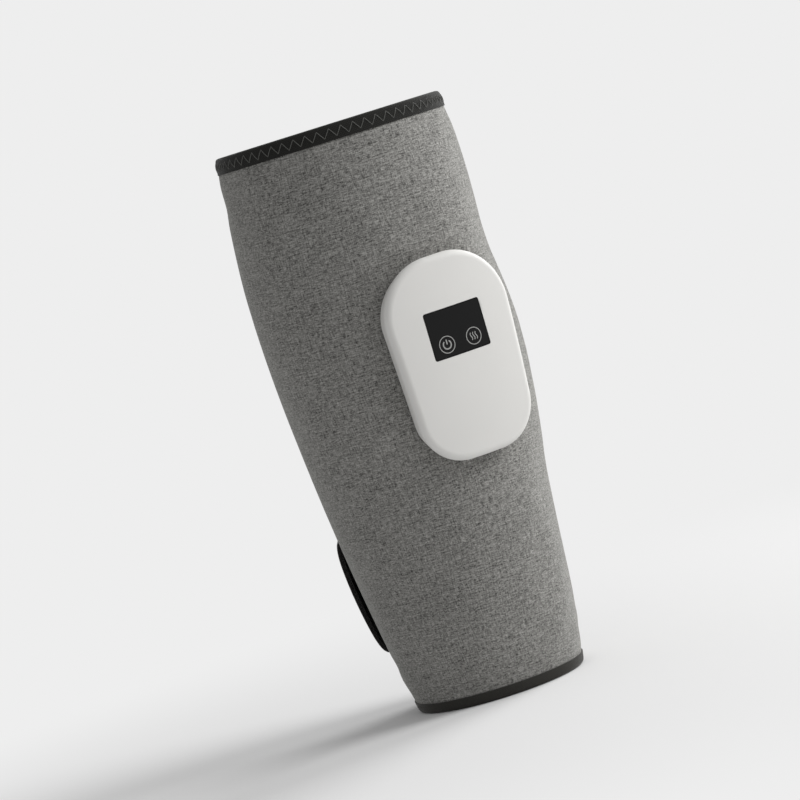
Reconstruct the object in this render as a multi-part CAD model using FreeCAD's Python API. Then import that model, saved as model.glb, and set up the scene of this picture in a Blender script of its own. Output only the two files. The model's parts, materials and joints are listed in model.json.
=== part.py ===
import FreeCAD, Part
import math
import os

# Air compression calf massager: a padded wrap that closes round the calf, and a control pod
# that pumps up its two air bladders and warms it. Millimetres, +Z up, standing on its lower hem.
# The origin is on the wrap's axis, in the plane of the hem. Bearings are degrees about +Z from +X:
# the pod faces 270 (-Y) and the wrap closes at 90 (+Y).

V = FreeCAD.Vector
UP = V(0, 0, 1)
ORIGIN = V(0, 0, 0)

# Wrap: girth radii of the outer face at the hem, one third and two thirds up, and at the top
WRAP_HEIGHT = 330.0
HEM_RADIUS = 48.0
SHIN_RADIUS = 62.3
CALF_RADIUS = 70.2
TOP_RADIUS = 66.2
COVER = 3.0             # knit face on foam
BLADDER = 6.4           # air bladder, part filled
HEATER = 0.8            # heating film
LINING = 1.8            # velvet lining
LAYER_GAP = 0.3         # between the layers of the wrap
BINDING = 0.9           # binding tape
TOP_BINDING_HEIGHT = 9.2
HEM_BINDING_HEIGHT = 6.2
EDGE_BINDING_WIDTH = 8.0
TAPE_FIT = 0.15         # between binding tape and what it covers

# Opening of the wrap
CLOSE_BEARING = 90.0
HINGE_BEARING = -15.0   # where the fabric folds as the flap swings out
CLOSE_GAP = 1.0         # half the gap between the two closing edges
FOLD_GAP = 0.6          # half the gap between the two panels at the fold
FOLD_PROUD = 1.2        # fold axis outside the wrap's face

# Closing straps: webbing with a hook pad on its inner face, sewn to the flap at its root
STRAP_WIDTH = 70.0
STRAP_LENGTH = 74.0     # free length past the root seam
ROOT_LENGTH = 16.0
STRAP_SEAM_BEARING = 77.0
UPPER_STRAP_DROP = 80.0     # middle of the upper strap below the top edge
LOWER_STRAP_HEIGHT = 70.0   # middle of the lower strap above the hem
WEBBING = 1.4
HOOK_PAD = 0.9
HOOK_LENGTH = 46.0
HOOK_INSET = 5.0
STRAP_CORNER = 15.0
STRAP_SPRING = 1.6      # the stiff strap is rounder than the wrap by this much
STRAP_CLEAR = 0.3       # between the hook pad and the edge binding under it
STRAP_SEAM_GAP = 0.5

# Air bladders and heater inside the wrap
BLADDER_MARGIN = 10.0   # from the edges of the panel
BLADDER_LAND = 6.0
WELD = 7.0              # width of the welded border
WELD_SHEET = 1.0
POD_WINDOW = 2.75       # clear border round the pod in the upper bladder
HEATER_MARGIN = 24.0

# Control pod, in its own frame: x to the right, y up along the wrap, n outwards from the wrap's face
POD_BEARING = 270.0
POD_DROP = 140.0        # middle of the pod below the top edge
POD_LENGTH = 117.0
POD_TOP_WIDTH = 86.0
POD_FOOT_WIDTH = 73.0
POD_TOP_CORNER = 35.0
POD_FOOT_CORNER = 28.0
POD_FACE = 12.0         # crown of the face above the wrap
POD_CROWN_ACROSS = 190.0
POD_CROWN_ALONG = 900.0
POD_EDGE = 4.0          # rounding between face and side
POD_TUCK = 9.0          # how far the sides draw in down to the wrap
POD_TUCK_DEPTH = 14.0   # below the wrap's face, where the tuck is measured
SHELL = 2.2
SEAT_GAP = 0.1          # pod rim to fabric
TRAY_INSET = 9.25       # rear case inside the pod's outline
TRAY_WALL = 1.8
TRAY_RIM = 3.0          # top of the rear case above the wrap's face
FLANGE_INSET = 5.25
FLANGE = 2.0
FABRIC_HOLE_GAP = 0.5

# Window and keys
LENS_WIDTH = 35.2
LENS_HEIGHT = 26.5
LENS_UP = 13.9          # middle of the lens above the middle of the pod
LENS_CORNER = 1.2
LENS_THICK = 1.2
LENS_SUNK = 0.15
LENS_FIT = 0.12
LEDGE = 1.2
KEY_RADIUS = 4.9
KEY_SPACING = 17.0
KEY_DOWN = 6.1          # keys below the middle of the lens
KEY_PROUD = 0.12
KEY_FIT = 0.15
KEY_FLANGE = 0.6        # retaining rim wider than the cap
KEY_FLANGE_THICK = 0.7
KEY_STEM_RADIUS = 1.6
KEY_TRAVEL = 0.6
KEY_SPARE = 0.15        # left between stem and switch when pressed

# Control board and what it carries
BOARD_WIDTH = 46.0
BOARD_HEIGHT = 40.0
BOARD_UP = 18.0
BOARD_THICK = 1.6
BOARD_BELOW_SHELL = 4.2
BOARD_CORNER = 3.0
BOARD_POST_RADIUS = 2.4
BOARD_POST_INSET = 3.2
BOARD_PILOT = 0.8
BOARD_SCREW_HEAD = 1.9
BOARD_SCREW_HEAD_HEIGHT = 1.3
BOARD_SCREW_GRIP = 2.4
BOARD_HOLE_GAP = 0.2
DISPLAY_WIDTH = 27.0
DISPLAY_HEIGHT = 11.0
DISPLAY_THICK = 3.0
DISPLAY_CORNER = 0.5
SWITCH_SIDE = 6.0
SWITCH_HEIGHT = 1.0
CHIP_SIDE = 7.0
CHIP_HEIGHT = 1.0

# Battery
BATTERY_WIDTH = 36.0
BATTERY_HEIGHT = 38.0
BATTERY_THICK = 7.4
BATTERY_CORNER = 3.0
BATTERY_PAD_WIDTH = 18.0
BATTERY_PAD_LENGTH = 19.0
BATTERY_PAD_CORNER = 1.0
BATTERY_RIB_SPACING = 24.0
BATTERY_RIB_LENGTH = 30.0
REST_GAP = 0.15         # part to the rib it lies on
RIB = 1.8
RIB_CORNER = 0.3

# Diaphragm pump, its axis along the pod
PUMP_RADIUS = 7.5
PUMP_X = -13.5
PUMP_FOOT = -38.5       # end of the motor below the middle of the pod
MOTOR_LENGTH = 17.0
MOTOR_CAP = 1.6
MOTOR_CAP_RADIUS = 6.0
HOUSING_LENGTH = 11.5
HOUSING_WALL = 1.2
NOSE_BORE = 2.0         # hole that the shaft passes in the housing
DIAPHRAGM = 1.2
CHAMBERS = 3
CHAMBER_RADIUS = 1.8
CHAMBER_DEPTH = 0.6
PUMP_COVER = 4.5
SHAFT_RADIUS = 1.0
SHAFT_FIT = 0.05
SHAFT_DEPTH = 10.0      # inside the motor
CRANK_RADIUS = 4.0
CRANK_THICK = 2.2
CRANK_THROW = 1.6
CRANK_PIN = 0.9
PUMP_CLEAR = 0.3
WOBBLE_RADIUS = 5.2
WOBBLE_THICK = 1.4
WOBBLE_STEM = 0.9
WOBBLE_STEM_RADIUS = 3.9
CRADLE_LENGTH = 10.0
CRADLE_WIDTH = 17.0

# Valves, manifold and hoses
NOZZLE_RADIUS = 2.0
NOZZLE_BORE = 1.1
SPIGOT = 4.0            # length of the spigots that the hoses push onto
HOSE_RADIUS = 3.0
HOSE_FIT = 0.1
HOSE_END_GAP = 0.4
MANIFOLD_X = 3.0        # left face
MANIFOLD_WIDTH = 20.0
MANIFOLD_LENGTH = 7.0
MANIFOLD_DEPTH = 7.5
VALVE_WIDTH = 9.2
VALVE_LENGTH = 17.0
VALVE_DEPTH = 9.5
VALVE_BORE = 2.1
VALVE_SPRING_ROOM = 1.8    # bore left behind the plunger when it is drawn back
VALVE_WALL = 1.0
VALVE_RIB_LENGTH = 12.0
PLUNGER_RADIUS = 2.0
PLUNGER_NECK = 1.4      # radius between its two collars
PLUNGER_COLLAR = 2.0
PLUNGER_LENGTH = 6.0
PLUNGER_TRAVEL = 0.8
PLUNGER_START = 0.4
JOIN_GAP = 0.1          # between parts screwed or glued face to face

# Charging socket at the foot of the pod
SOCKET_WIDTH = 9.0
SOCKET_HEIGHT = 3.2
SOCKET_LENGTH = 7.4
SOCKET_SKIN = 0.4
SOCKET_BACK = 1.5
SOCKET_TONGUE = 0.8
SOCKET_TONGUE_WIDTH = 6.0
SOCKET_TONGUE_SUNK = 1.1
SOCKET_FLAT = 0.02      # left straight between the two round ends of its side
SOCKET_UP = 1.8         # underside above the wrap's face
SOCKET_SUNK = 0.6
SOCKET_GAP = 0.3
CHARGE_BOARD_WIDTH = 12.0
CHARGE_BOARD_LENGTH = 9.0
CHARGE_BOARD_THICK = 1.0

# Screws through the rear case into the front cover
SCREW_TOP = (14.0, 42.5)
SCREW_FOOT = (15.5, -42.0)
BOSS_RADIUS = 3.0
SCREW_RADIUS = 1.1
SCREW_PILOT = 1.0
SCREW_HEAD = 2.2
SCREW_HEAD_HEIGHT = 1.5
SCREW_HOLE_GAP = 0.2
SCREW_BITE = 5.0
PILOT_SPARE = 1.0       # pilot hole past the screw's tip
BOSS_SPLIT = -1.0       # where the two bosses meet, against the wrap's face

# Depths below the wrap's outer face
BLADDER_DEPTH = COVER + LAYER_GAP
HEATER_DEPTH = BLADDER_DEPTH + BLADDER + LAYER_GAP
LINING_DEPTH = HEATER_DEPTH + HEATER + LAYER_GAP
WALL = LINING_DEPTH + LINING
TRAY_BACK = LINING_DEPTH - LAYER_GAP
TRAY_FLOOR = TRAY_BACK - TRAY_WALL
PANEL_FOOT = BINDING + TAPE_FIT
PANEL_HEAD = WRAP_HEIGHT - BINDING - TAPE_FIT
REACH = 2.0 * CALF_RADIUS   # longer than anything that is cut
OVER_FACE = POD_FACE + SHELL    # above the whole of the pod's face

# Heights that hang on other sizes
UPPER_STRAP_HEIGHT = WRAP_HEIGHT - UPPER_STRAP_DROP
POD_HEIGHT = WRAP_HEIGHT - POD_DROP
BLADDER_SPLIT = POD_HEIGHT - POD_LENGTH / 2 - POD_WINDOW   # land between the two bladders
STRAP_LIFT = BINDING + STRAP_CLEAR


def wrap_radius(height, depth=0.0):
    """Radius of the wrap at a height, at a depth below its outer face: the cubic through the four girths."""
    t = height / WRAP_HEIGHT
    a, b, c, d = HEM_RADIUS, SHIN_RADIUS, CALF_RADIUS, TOP_RADIUS
    hem = -a * (3 * t - 1) * (3 * t - 2) * (t - 1) / 2
    shin = 9 * b * t * (3 * t - 2) * (t - 1) / 2
    calf = -9 * c * t * (3 * t - 1) * (t - 1) / 2
    top = d * t * (3 * t - 1) * (3 * t - 2) / 2
    return hem + shin + calf + top - depth


def wrap_slope(height):
    """How fast the wrap widens with height."""
    return wrap_radius(height + 0.5) - wrap_radius(height - 0.5)


def turn_of(length, height, depth=0.0):
    """Degrees that a length takes up round the wrap at a height."""
    return math.degrees(length / wrap_radius(height, depth))


def direction(bearing):
    """Unit vector from the axis towards a bearing."""
    angle = math.radians(bearing)
    return V(math.cos(angle), math.sin(angle), 0)


def girth_edge(depth, low, high):
    """The wrap's profile between two heights as one cubic curve in the XZ plane."""
    third = (high - low) / 3
    r = [wrap_radius(low + k * third, depth) for k in range(4)]
    lower_pole = (-5 * r[0] + 18 * r[1] - 9 * r[2] + 2 * r[3]) / 6
    upper_pole = (2 * r[0] - 9 * r[1] + 18 * r[2] - 5 * r[3]) / 6
    curve = Part.BezierCurve()
    curve.setPoles([V(r[0], 0, low), V(lower_pole, 0, low + third),
                    V(upper_pole, 0, high - third), V(r[3], 0, high)])
    return curve.toShape()


def turned(face, start, end):
    """A face in the XZ plane carried round the wrap's axis between two bearings."""
    face.rotate(ORIGIN, UP, start)
    solid = face.revolve(ORIGIN, UP, end - start)
    return solid if solid.Volume > 0 else solid.reversed()


def wrap_slab(depths, heights, bearings):
    """Solid of the wrap between two depths below its outer face, two heights and two bearings."""
    low, high = heights
    outer = girth_edge(depths[0], low, high)
    inner = girth_edge(depths[1], low, high)
    foot = Part.makeLine(inner.firstVertex().Point, outer.firstVertex().Point)
    head = Part.makeLine(outer.lastVertex().Point, inner.lastVertex().Point)
    wire = Part.Wire(Part.__sortEdges__([foot, outer, head, inner]))
    return turned(Part.Face(wire), *bearings)


def wrap_core(depth):
    """Everything inside the wrap from a depth below its outer face to its axis, past both ends."""
    low, high = -BINDING, WRAP_HEIGHT + BINDING
    outer = girth_edge(depth, low, high)
    corners = [outer.lastVertex().Point, V(0, 0, high), V(0, 0, low), outer.firstVertex().Point]
    sides = [Part.makeLine(p, q) for p, q in zip(corners, corners[1:])]
    wire = Part.Wire(Part.__sortEdges__([outer] + sides))
    return turned(Part.Face(wire), 0, 360)


def wrap_rod(height, depth, radius, bearings):
    """A round bar bent round the wrap's axis at a height and depth."""
    centre = V(wrap_radius(height, depth), 0, height)
    return turned(Part.Face(Part.Wire(Part.makeCircle(radius, centre, V(0, 1, 0)))), *bearings)


def wrap_tube(height, depth, radius, bore, bearings):
    """A round tube bent round the wrap's axis at a height and depth."""
    return wrap_rod(height, depth, radius, bearings).cut(wrap_rod(height, depth, bore, bearings))


# The pod's frame leans with the wrap's face
POD_LEAN = math.atan2(wrap_radius(POD_HEIGHT + POD_LENGTH / 2) - wrap_radius(POD_HEIGHT - POD_LENGTH / 2),
                      POD_LENGTH)
POD_RADIUS = wrap_radius(POD_HEIGHT)
POD_ORIGIN = V(0, -POD_RADIUS, POD_HEIGHT)
POD_UP = V(0, -math.sin(POD_LEAN), math.cos(POD_LEAN))
POD_OUT = V(0, -math.cos(POD_LEAN), -math.sin(POD_LEAN))
POD_MATRIX = FreeCAD.Matrix(1, 0, 0, POD_ORIGIN.x,
                            0, POD_UP.y, POD_OUT.y, POD_ORIGIN.y,
                            0, POD_UP.z, POD_OUT.z, POD_ORIGIN.z,
                            0, 0, 0, 1)


def in_pod(shape):
    """A shape made in the pod's frame, put where the pod is."""
    return shape.transformed(POD_MATRIX)


def pod_level(x, y, depth):
    """How far out from the pod's origin the wrap's inside lies at a depth, at a place on the pod."""
    out = -depth
    for _ in range(4):
        height = POD_HEIGHT + y * POD_UP.z + out * POD_OUT.z
        across = math.sqrt(wrap_radius(height, depth) ** 2 - x ** 2)
        out = (across + y * POD_UP.y - POD_RADIUS) / -POD_OUT.y
    return out


def rounded_outline(corners):
    """Closed wire of straight sides and tangent arcs through corners given as (x, y, radius)."""
    edges, ends = [], []
    count = len(corners)
    for i, (x, y, radius) in enumerate(corners):
        here = V(x, y, 0)
        back = (V(*corners[i - 1][:2], 0) - here).normalize()
        ahead = (V(*corners[(i + 1) % count][:2], 0) - here).normalize()
        half = back.getAngle(ahead) / 2
        reach = radius / math.tan(half)
        middle = here + (back + ahead).normalize() * (radius / math.sin(half) - radius)
        start, end = here + back * reach, here + ahead * reach
        edges.append(Part.Arc(start, middle, end).toShape())
        ends.append((start, end))
    for i in range(count):
        edges.append(Part.makeLine(ends[i - 1][1], ends[i][0]))
    return Part.Wire(Part.__sortEdges__(edges))


def pod_outline(inset, level=0.0):
    """The pod's outline drawn in by an inset, at a level."""
    half, top, foot = POD_LENGTH / 2, POD_TOP_WIDTH / 2, POD_FOOT_WIDTH / 2
    wire = rounded_outline([(-foot, -half, POD_FOOT_CORNER), (foot, -half, POD_FOOT_CORNER),
                            (top, half, POD_TOP_CORNER), (-top, half, POD_TOP_CORNER)])
    wire = wire.makeOffset2D(-inset) if inset else wire
    wire.translate(V(0, 0, level))
    return wire


def plate_outline(width, height, corner, y=0.0, x=0.0):
    """Outline of a rounded rectangle."""
    w, h = width / 2, height / 2
    return rounded_outline([(x - w, y - h, corner), (x + w, y - h, corner),
                            (x + w, y + h, corner), (x - w, y + h, corner)])


def prism(wire, low, high):
    """A flat outline raised from one level to another."""
    face = Part.Face(wire)
    face.translate(V(0, 0, low - face.CenterOfMass.z))
    return face.extrude(V(0, 0, high - low))


def block(x0, x1, y0, y1, n0, n1):
    """A box between pod coordinates."""
    return Part.makeBox(x1 - x0, y1 - y0, n1 - n0, V(x0, y0, n0))


def post(x, y, low, high, radius):
    """A round post standing out from the wrap."""
    return Part.makeCylinder(radius, high - low, V(x, y, low), UP)


def rod(x, n, y0, y1, radius):
    """A round bar along the pod."""
    return Part.makeCylinder(radius, y1 - y0, V(x, y0, n), V(0, 1, 0))


def cross_rod(x0, x1, y, n, radius):
    """A round bar across the pod."""
    return Part.makeCylinder(radius, x1 - x0, V(x0, y, n), V(1, 0, 0))


def pod_dome(sunk):
    """Everything under the pod's crowned face, sunk by a depth: an arc along the pod, turned about
    an axis that runs along it."""
    along, across = POD_CROWN_ALONG - sunk, POD_CROWN_ACROSS - sunk
    end = POD_LENGTH
    level = POD_FACE - POD_CROWN_ALONG
    drop = level + math.sqrt(along ** 2 - end ** 2)
    axis = POD_FACE - POD_CROWN_ACROSS
    arc = Part.Arc(V(0, -end, drop), V(0, 0, axis + across), V(0, end, drop)).toShape()
    corners = [V(0, end, drop), V(0, end, axis), V(0, -end, axis), V(0, -end, drop)]
    sides = [Part.makeLine(p, q) for p, q in zip(corners, corners[1:])]
    face = Part.Face(Part.Wire(Part.__sortEdges__([arc] + sides)))
    solid = face.revolve(V(0, 0, axis), V(0, 1, 0), 360)
    return solid if solid.Volume > 0 else solid.reversed()


# Wrap panels

def panel_bearings():
    """Bearings of the main panel and of the flap, each from its first edge to its last."""
    fold = turn_of(FOLD_GAP, POD_HEIGHT)
    close = turn_of(CLOSE_GAP, POD_HEIGHT)
    main = (CLOSE_BEARING + close, HINGE_BEARING + 360 - fold)
    flap = (HINGE_BEARING + fold, CLOSE_BEARING - close)
    return main, flap


def bound_bearings():
    """The same, drawn in where the edge binding covers the closing edges."""
    main, flap = panel_bearings()
    tape = turn_of(BINDING + TAPE_FIT, POD_HEIGHT)
    return (main[0] + tape, main[1]), (flap[0], flap[1] - tape)


def top_binding(bearings):
    """Tape folded over the top edge."""
    low = WRAP_HEIGHT - TOP_BINDING_HEIGHT
    tape = wrap_slab((-BINDING, WALL + BINDING), (low, WRAP_HEIGHT), bearings)
    inside = wrap_slab((-TAPE_FIT, WALL + TAPE_FIT), (low - BINDING, WRAP_HEIGHT - BINDING), bearings)
    return tape.cut(inside)


def hem_binding(bearings):
    """Tape folded over the hem."""
    tape = wrap_slab((-BINDING, WALL + BINDING), (0, HEM_BINDING_HEIGHT), bearings)
    inside = wrap_slab((-TAPE_FIT, WALL + TAPE_FIT), (BINDING, HEM_BINDING_HEIGHT + BINDING), bearings)
    return tape.cut(inside)


def edge_binding(edge, side):
    """Tape folded over a closing edge. side is 1 where the panel lies at growing bearings."""
    heights = (HEM_BINDING_HEIGHT + TAPE_FIT, WRAP_HEIGHT - TOP_BINDING_HEIGHT - TAPE_FIT)
    width = turn_of(EDGE_BINDING_WIDTH, POD_HEIGHT) * side
    skin = turn_of(BINDING, POD_HEIGHT) * side
    tape = wrap_slab((-BINDING, WALL + BINDING), heights, sorted((edge, edge + width)))
    inside = wrap_slab((-TAPE_FIT, WALL + TAPE_FIT), heights, sorted((edge + skin, edge + 2 * width)))
    return tape.cut(inside)


def panel_layer(depths, bearings):
    """One layer of a panel, from hem binding to top binding."""
    return wrap_slab(depths, (PANEL_FOOT, PANEL_HEAD), bearings)


def outer_cover(bearings):
    """Knit cover of the main panel, with the hole that the rear case passes through."""
    hole = in_pod(prism(pod_outline(TRAY_INSET - FABRIC_HOLE_GAP), -REACH / 2, REACH / 2))
    near_side = Part.makeBox(2 * REACH, REACH, WRAP_HEIGHT, V(-REACH, -REACH, 0))
    return panel_layer((0, COVER), bearings).cut(hole.common(near_side))


def flap_padding(bearings):
    """Foam that fills the flap."""
    side = turn_of(BLADDER_MARGIN, POD_HEIGHT)
    return wrap_slab((BLADDER_DEPTH, LINING_DEPTH - LAYER_GAP),
                     (PANEL_FOOT + BLADDER_MARGIN, PANEL_HEAD - BLADDER_MARGIN),
                     (bearings[0] + side / 2, bearings[1] - side))


def air_bladder(heights, bearings):
    """A welded bag: a thin border all round a thicker chamber."""
    weld = turn_of(WELD, POD_HEIGHT)
    middle = BLADDER_DEPTH + BLADDER / 2
    border = wrap_slab((middle - WELD_SHEET / 2, middle + WELD_SHEET / 2), heights, bearings)
    chamber = wrap_slab((BLADDER_DEPTH, BLADDER_DEPTH + BLADDER), (heights[0] + WELD, heights[1] - WELD),
                        (bearings[0] + weld, bearings[1] - weld))
    return border.fuse(chamber)


def bladder_bearings(bearings):
    """Where the bladders lie on the main panel."""
    side = turn_of(BLADDER_MARGIN, POD_HEIGHT)
    return bearings[0] + side, bearings[1] - side


def lower_bladder(bearings):
    """Bladder below the pod, with the spigot that its hose pushes onto."""
    heights = (PANEL_FOOT + BLADDER_MARGIN, BLADDER_SPLIT - BLADDER_LAND / 2)
    bag = air_bladder(heights, bladder_bearings(bearings))
    spigot = lower_hose_bar(1 + WELD / lower_hose_length(), 1 - SPIGOT / lower_hose_length(), NOZZLE_RADIUS)
    return bag.fuse(spigot).removeSplitter()


def upper_bladder(bearings):
    """Bladder round and above the pod, open at the pod, with its hose spigot."""
    heights = (BLADDER_SPLIT + BLADDER_LAND / 2, PANEL_HEAD - BLADDER_MARGIN)
    bag = air_bladder(heights, bladder_bearings(bearings))
    window = in_pod(prism(pod_outline(-POD_WINDOW), -REACH / 2, REACH / 2))
    near_side = Part.makeBox(2 * REACH, REACH, WRAP_HEIGHT, V(-REACH, -REACH, 0))
    height, depth, edge = upper_hose_place()
    reach = turn_of(SPIGOT, height, depth)
    spigot = wrap_tube(height, depth, NOZZLE_RADIUS, NOZZLE_BORE, (edge - reach, edge + reach))
    return bag.cut(window.common(near_side)).fuse(spigot).removeSplitter()


def heating_film(bearings):
    """Heating film behind the calf, between the bladders and the lining."""
    side = turn_of(HEATER_MARGIN, POD_HEIGHT)
    tray = math.degrees(math.asin((POD_TOP_WIDTH / 2 - FLANGE_INSET) / (POD_RADIUS - TRAY_BACK)))
    return wrap_slab((HEATER_DEPTH, HEATER_DEPTH + HEATER),
                     (PANEL_FOOT + HEATER_MARGIN, PANEL_HEAD - HEATER_MARGIN),
                     (bearings[0] + side, POD_BEARING - tray - side / 2))


# Closing straps

def strap_slab(depths, heights, turns):
    """Band of a strap: like the wrap, but rounder by STRAP_SPRING, so that it springs off towards its end.
    Depths are heights above the wrap's face and turns are degrees past the root seam."""
    seam = STRAP_SEAM_BEARING
    band = wrap_slab((-depths[1] - STRAP_SPRING, -depths[0] - STRAP_SPRING), heights,
                     (seam + turns[0], seam + turns[1]))
    band.translate(direction(seam) * -STRAP_SPRING)
    return band


def rounded_band(levels, heights, turns, corner):
    """Band of a strap trimmed to its outline, whose corners are rounded at the free end.
    The band is made larger all round by the corner's radius and then trimmed."""
    low, high = heights
    start, end = turns
    spare = turn_of(corner, (low + high) / 2)
    band = strap_slab(levels, (low - corner, high + corner), (start, end + spare))
    out = direction(STRAP_SEAM_BEARING + end)
    across = UP.cross(out)
    far = -STRAP_SPRING * direction(STRAP_SEAM_BEARING).dot(across)
    outline = rounded_outline([(far - REACH, low, corner), (far, low, corner),
                               (far, high, corner), (far - REACH, high, corner)])
    frame = FreeCAD.Matrix(across.x, 0, out.x, 0, across.y, 0, out.y, 0, 0, 1, 0, 0, 0, 0, 0, 1)
    return band.common(prism(outline, 0, REACH).transformed(frame))


def strap_turns(length, middle):
    """Turn that a length of strap takes up round the wrap."""
    return math.degrees(length / (wrap_radius(middle) + STRAP_SPRING + STRAP_LIFT))


def strap_levels():
    """Heights above the wrap's face of the hook pad's and the webbing's two faces."""
    pad = STRAP_LIFT
    webbing = pad + HOOK_PAD + TAPE_FIT
    return (pad, pad + HOOK_PAD), (webbing, webbing + WEBBING)


def strap(middle):
    """Free webbing of a strap, with a rounded end."""
    heights = (middle - STRAP_WIDTH / 2, middle + STRAP_WIDTH / 2)
    end = strap_turns(STRAP_LENGTH, middle)
    start = strap_turns(STRAP_SEAM_GAP, middle)
    return rounded_band(strap_levels()[1], heights, (start, end), STRAP_CORNER)


def hook_pad(middle):
    """Hook tape under the free end of a strap."""
    half = STRAP_WIDTH / 2 - HOOK_INSET
    end = strap_turns(STRAP_LENGTH - HOOK_INSET, middle)
    start = strap_turns(STRAP_LENGTH - HOOK_INSET - HOOK_LENGTH, middle)
    heights = (middle - half, middle + half)
    return rounded_band(strap_levels()[0], heights, (start, end), STRAP_CORNER - HOOK_INSET)


def strap_root(middle):
    """Folded end of a strap, sewn down on the flap."""
    heights = (middle - STRAP_WIDTH / 2, middle + STRAP_WIDTH / 2)
    return wrap_slab((-strap_levels()[1][1], -TAPE_FIT), heights,
                     (STRAP_SEAM_BEARING - turn_of(ROOT_LENGTH, middle), STRAP_SEAM_BEARING))


def tangent_line(bearing, middle, half, proud):
    """Ends of a line that follows the wrap's profile at a height, stood off from it. The profile is hollow
    nowhere, so the line lies outside it all along."""
    out = direction(bearing)
    return [out * (wrap_radius(middle) + wrap_slope(middle) * step + proud) + UP * (middle + step)
            for step in (-half, half)]


def strap_axis(middle):
    """The line that a strap peels about, at the outer face of its root seam."""
    return tangent_line(STRAP_SEAM_BEARING, middle, STRAP_WIDTH / 2, strap_levels()[1][1])


def fold_axis():
    """The line that the flap swings about."""
    return tangent_line(HINGE_BEARING, WRAP_HEIGHT / 2, WRAP_HEIGHT / 2, FOLD_PROUD)


# Pod shells

def pod_body(inset, sunk):
    """Solid under the pod's face, its sides tucked in towards the wrap."""
    sides = Part.makeLoft([pod_outline(POD_TUCK + inset, -POD_TUCK_DEPTH), pod_outline(inset, POD_FACE)],
                          True, True)
    return sides.common(pod_dome(sunk))


def rounded_pod():
    """The pod's body with its face rounded into its sides."""
    body = pod_body(0, 0)
    face = max(body.Faces, key=lambda f: f.CenterOfMass.z)
    return body.makeFillet(POD_EDGE, face.Edges)


def screw_places():
    """The four case screws."""
    return [(side * x, y) for x, y in (SCREW_TOP, SCREW_FOOT) for side in (-1, 1)]


def screw_seat(x, y):
    """Level that a case screw's head bears on: the head stays inside the back of the rear case."""
    back = max(pod_level(abs(x) - SCREW_HEAD, y + end, TRAY_BACK) for end in (-SCREW_HEAD, SCREW_HEAD))
    return back + SCREW_HEAD_HEIGHT + SCREW_HOLE_GAP


def board_posts():
    """The four posts that carry the control board."""
    x, y = BOARD_WIDTH / 2 - BOARD_POST_INSET, BOARD_HEIGHT / 2 - BOARD_POST_INSET
    return [(sx * x, BOARD_UP + sy * y) for sx in (-1, 1) for sy in (-1, 1)]


def board_front():
    """Level of the control board's front face."""
    return POD_FACE - SHELL - BOARD_BELOW_SHELL


def pod_foot(level):
    """Pod coordinate of the outside of the pod's foot at a level."""
    return -POD_LENGTH / 2 + POD_TUCK * (POD_FACE - level) / (POD_FACE + POD_TUCK_DEPTH)


def socket_place():
    """Middle level of the charging socket and the pod coordinate of its mouth."""
    level = SOCKET_UP + SOCKET_HEIGHT / 2
    return level, pod_foot(level) + SOCKET_SUNK


def front_cover():
    """Moulded front shell: crowned face, window ledge, screw bosses and board posts, seated on the wrap."""
    shell = rounded_pod().cut(pod_body(SHELL, SHELL))
    inside = pod_dome(SHELL / 2)
    for x, y in screw_places():
        boss = post(x, y, BOSS_SPLIT, POD_FACE, BOSS_RADIUS).common(inside)
        shell = shell.fuse(boss).cut(post(x, y, BOSS_SPLIT, BOSS_SPLIT + SCREW_BITE + PILOT_SPARE, SCREW_PILOT))
    for x, y in board_posts():
        stand = post(x, y, board_front() + JOIN_GAP, POD_FACE, BOARD_POST_RADIUS).common(inside)
        pilot = post(x, y, board_front(), board_front() + BOARD_SCREW_GRIP + JOIN_GAP, BOARD_PILOT)
        shell = shell.fuse(stand).cut(pilot)
    pocket = prism(plate_outline(LENS_WIDTH + 2 * LENS_FIT, LENS_HEIGHT + 2 * LENS_FIT,
                                 LENS_CORNER + LENS_FIT, LENS_UP), 0, OVER_FACE)
    opening = prism(plate_outline(LENS_WIDTH - 2 * LEDGE, LENS_HEIGHT - 2 * LEDGE,
                                  LENS_CORNER, LENS_UP), 0, OVER_FACE)
    shell = shell.cut(pocket.cut(pod_dome(LENS_SUNK + LENS_THICK + JOIN_GAP))).cut(opening)
    level, mouth = socket_place()
    hole = plate_outline(SOCKET_WIDTH + 2 * SOCKET_GAP, SOCKET_HEIGHT + 2 * SOCKET_GAP,
                         (SOCKET_HEIGHT - SOCKET_FLAT) / 2 + SOCKET_GAP)
    slot = prism(hole, 0, SHELL + POD_TUCK + SOCKET_SUNK)
    slot.rotate(ORIGIN, V(1, 0, 0), 90)
    slot.translate(V(0, mouth + SHELL + POD_TUCK / 2, level))
    return in_pod(shell.cut(slot)).cut(wrap_core(-SEAT_GAP))


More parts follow.
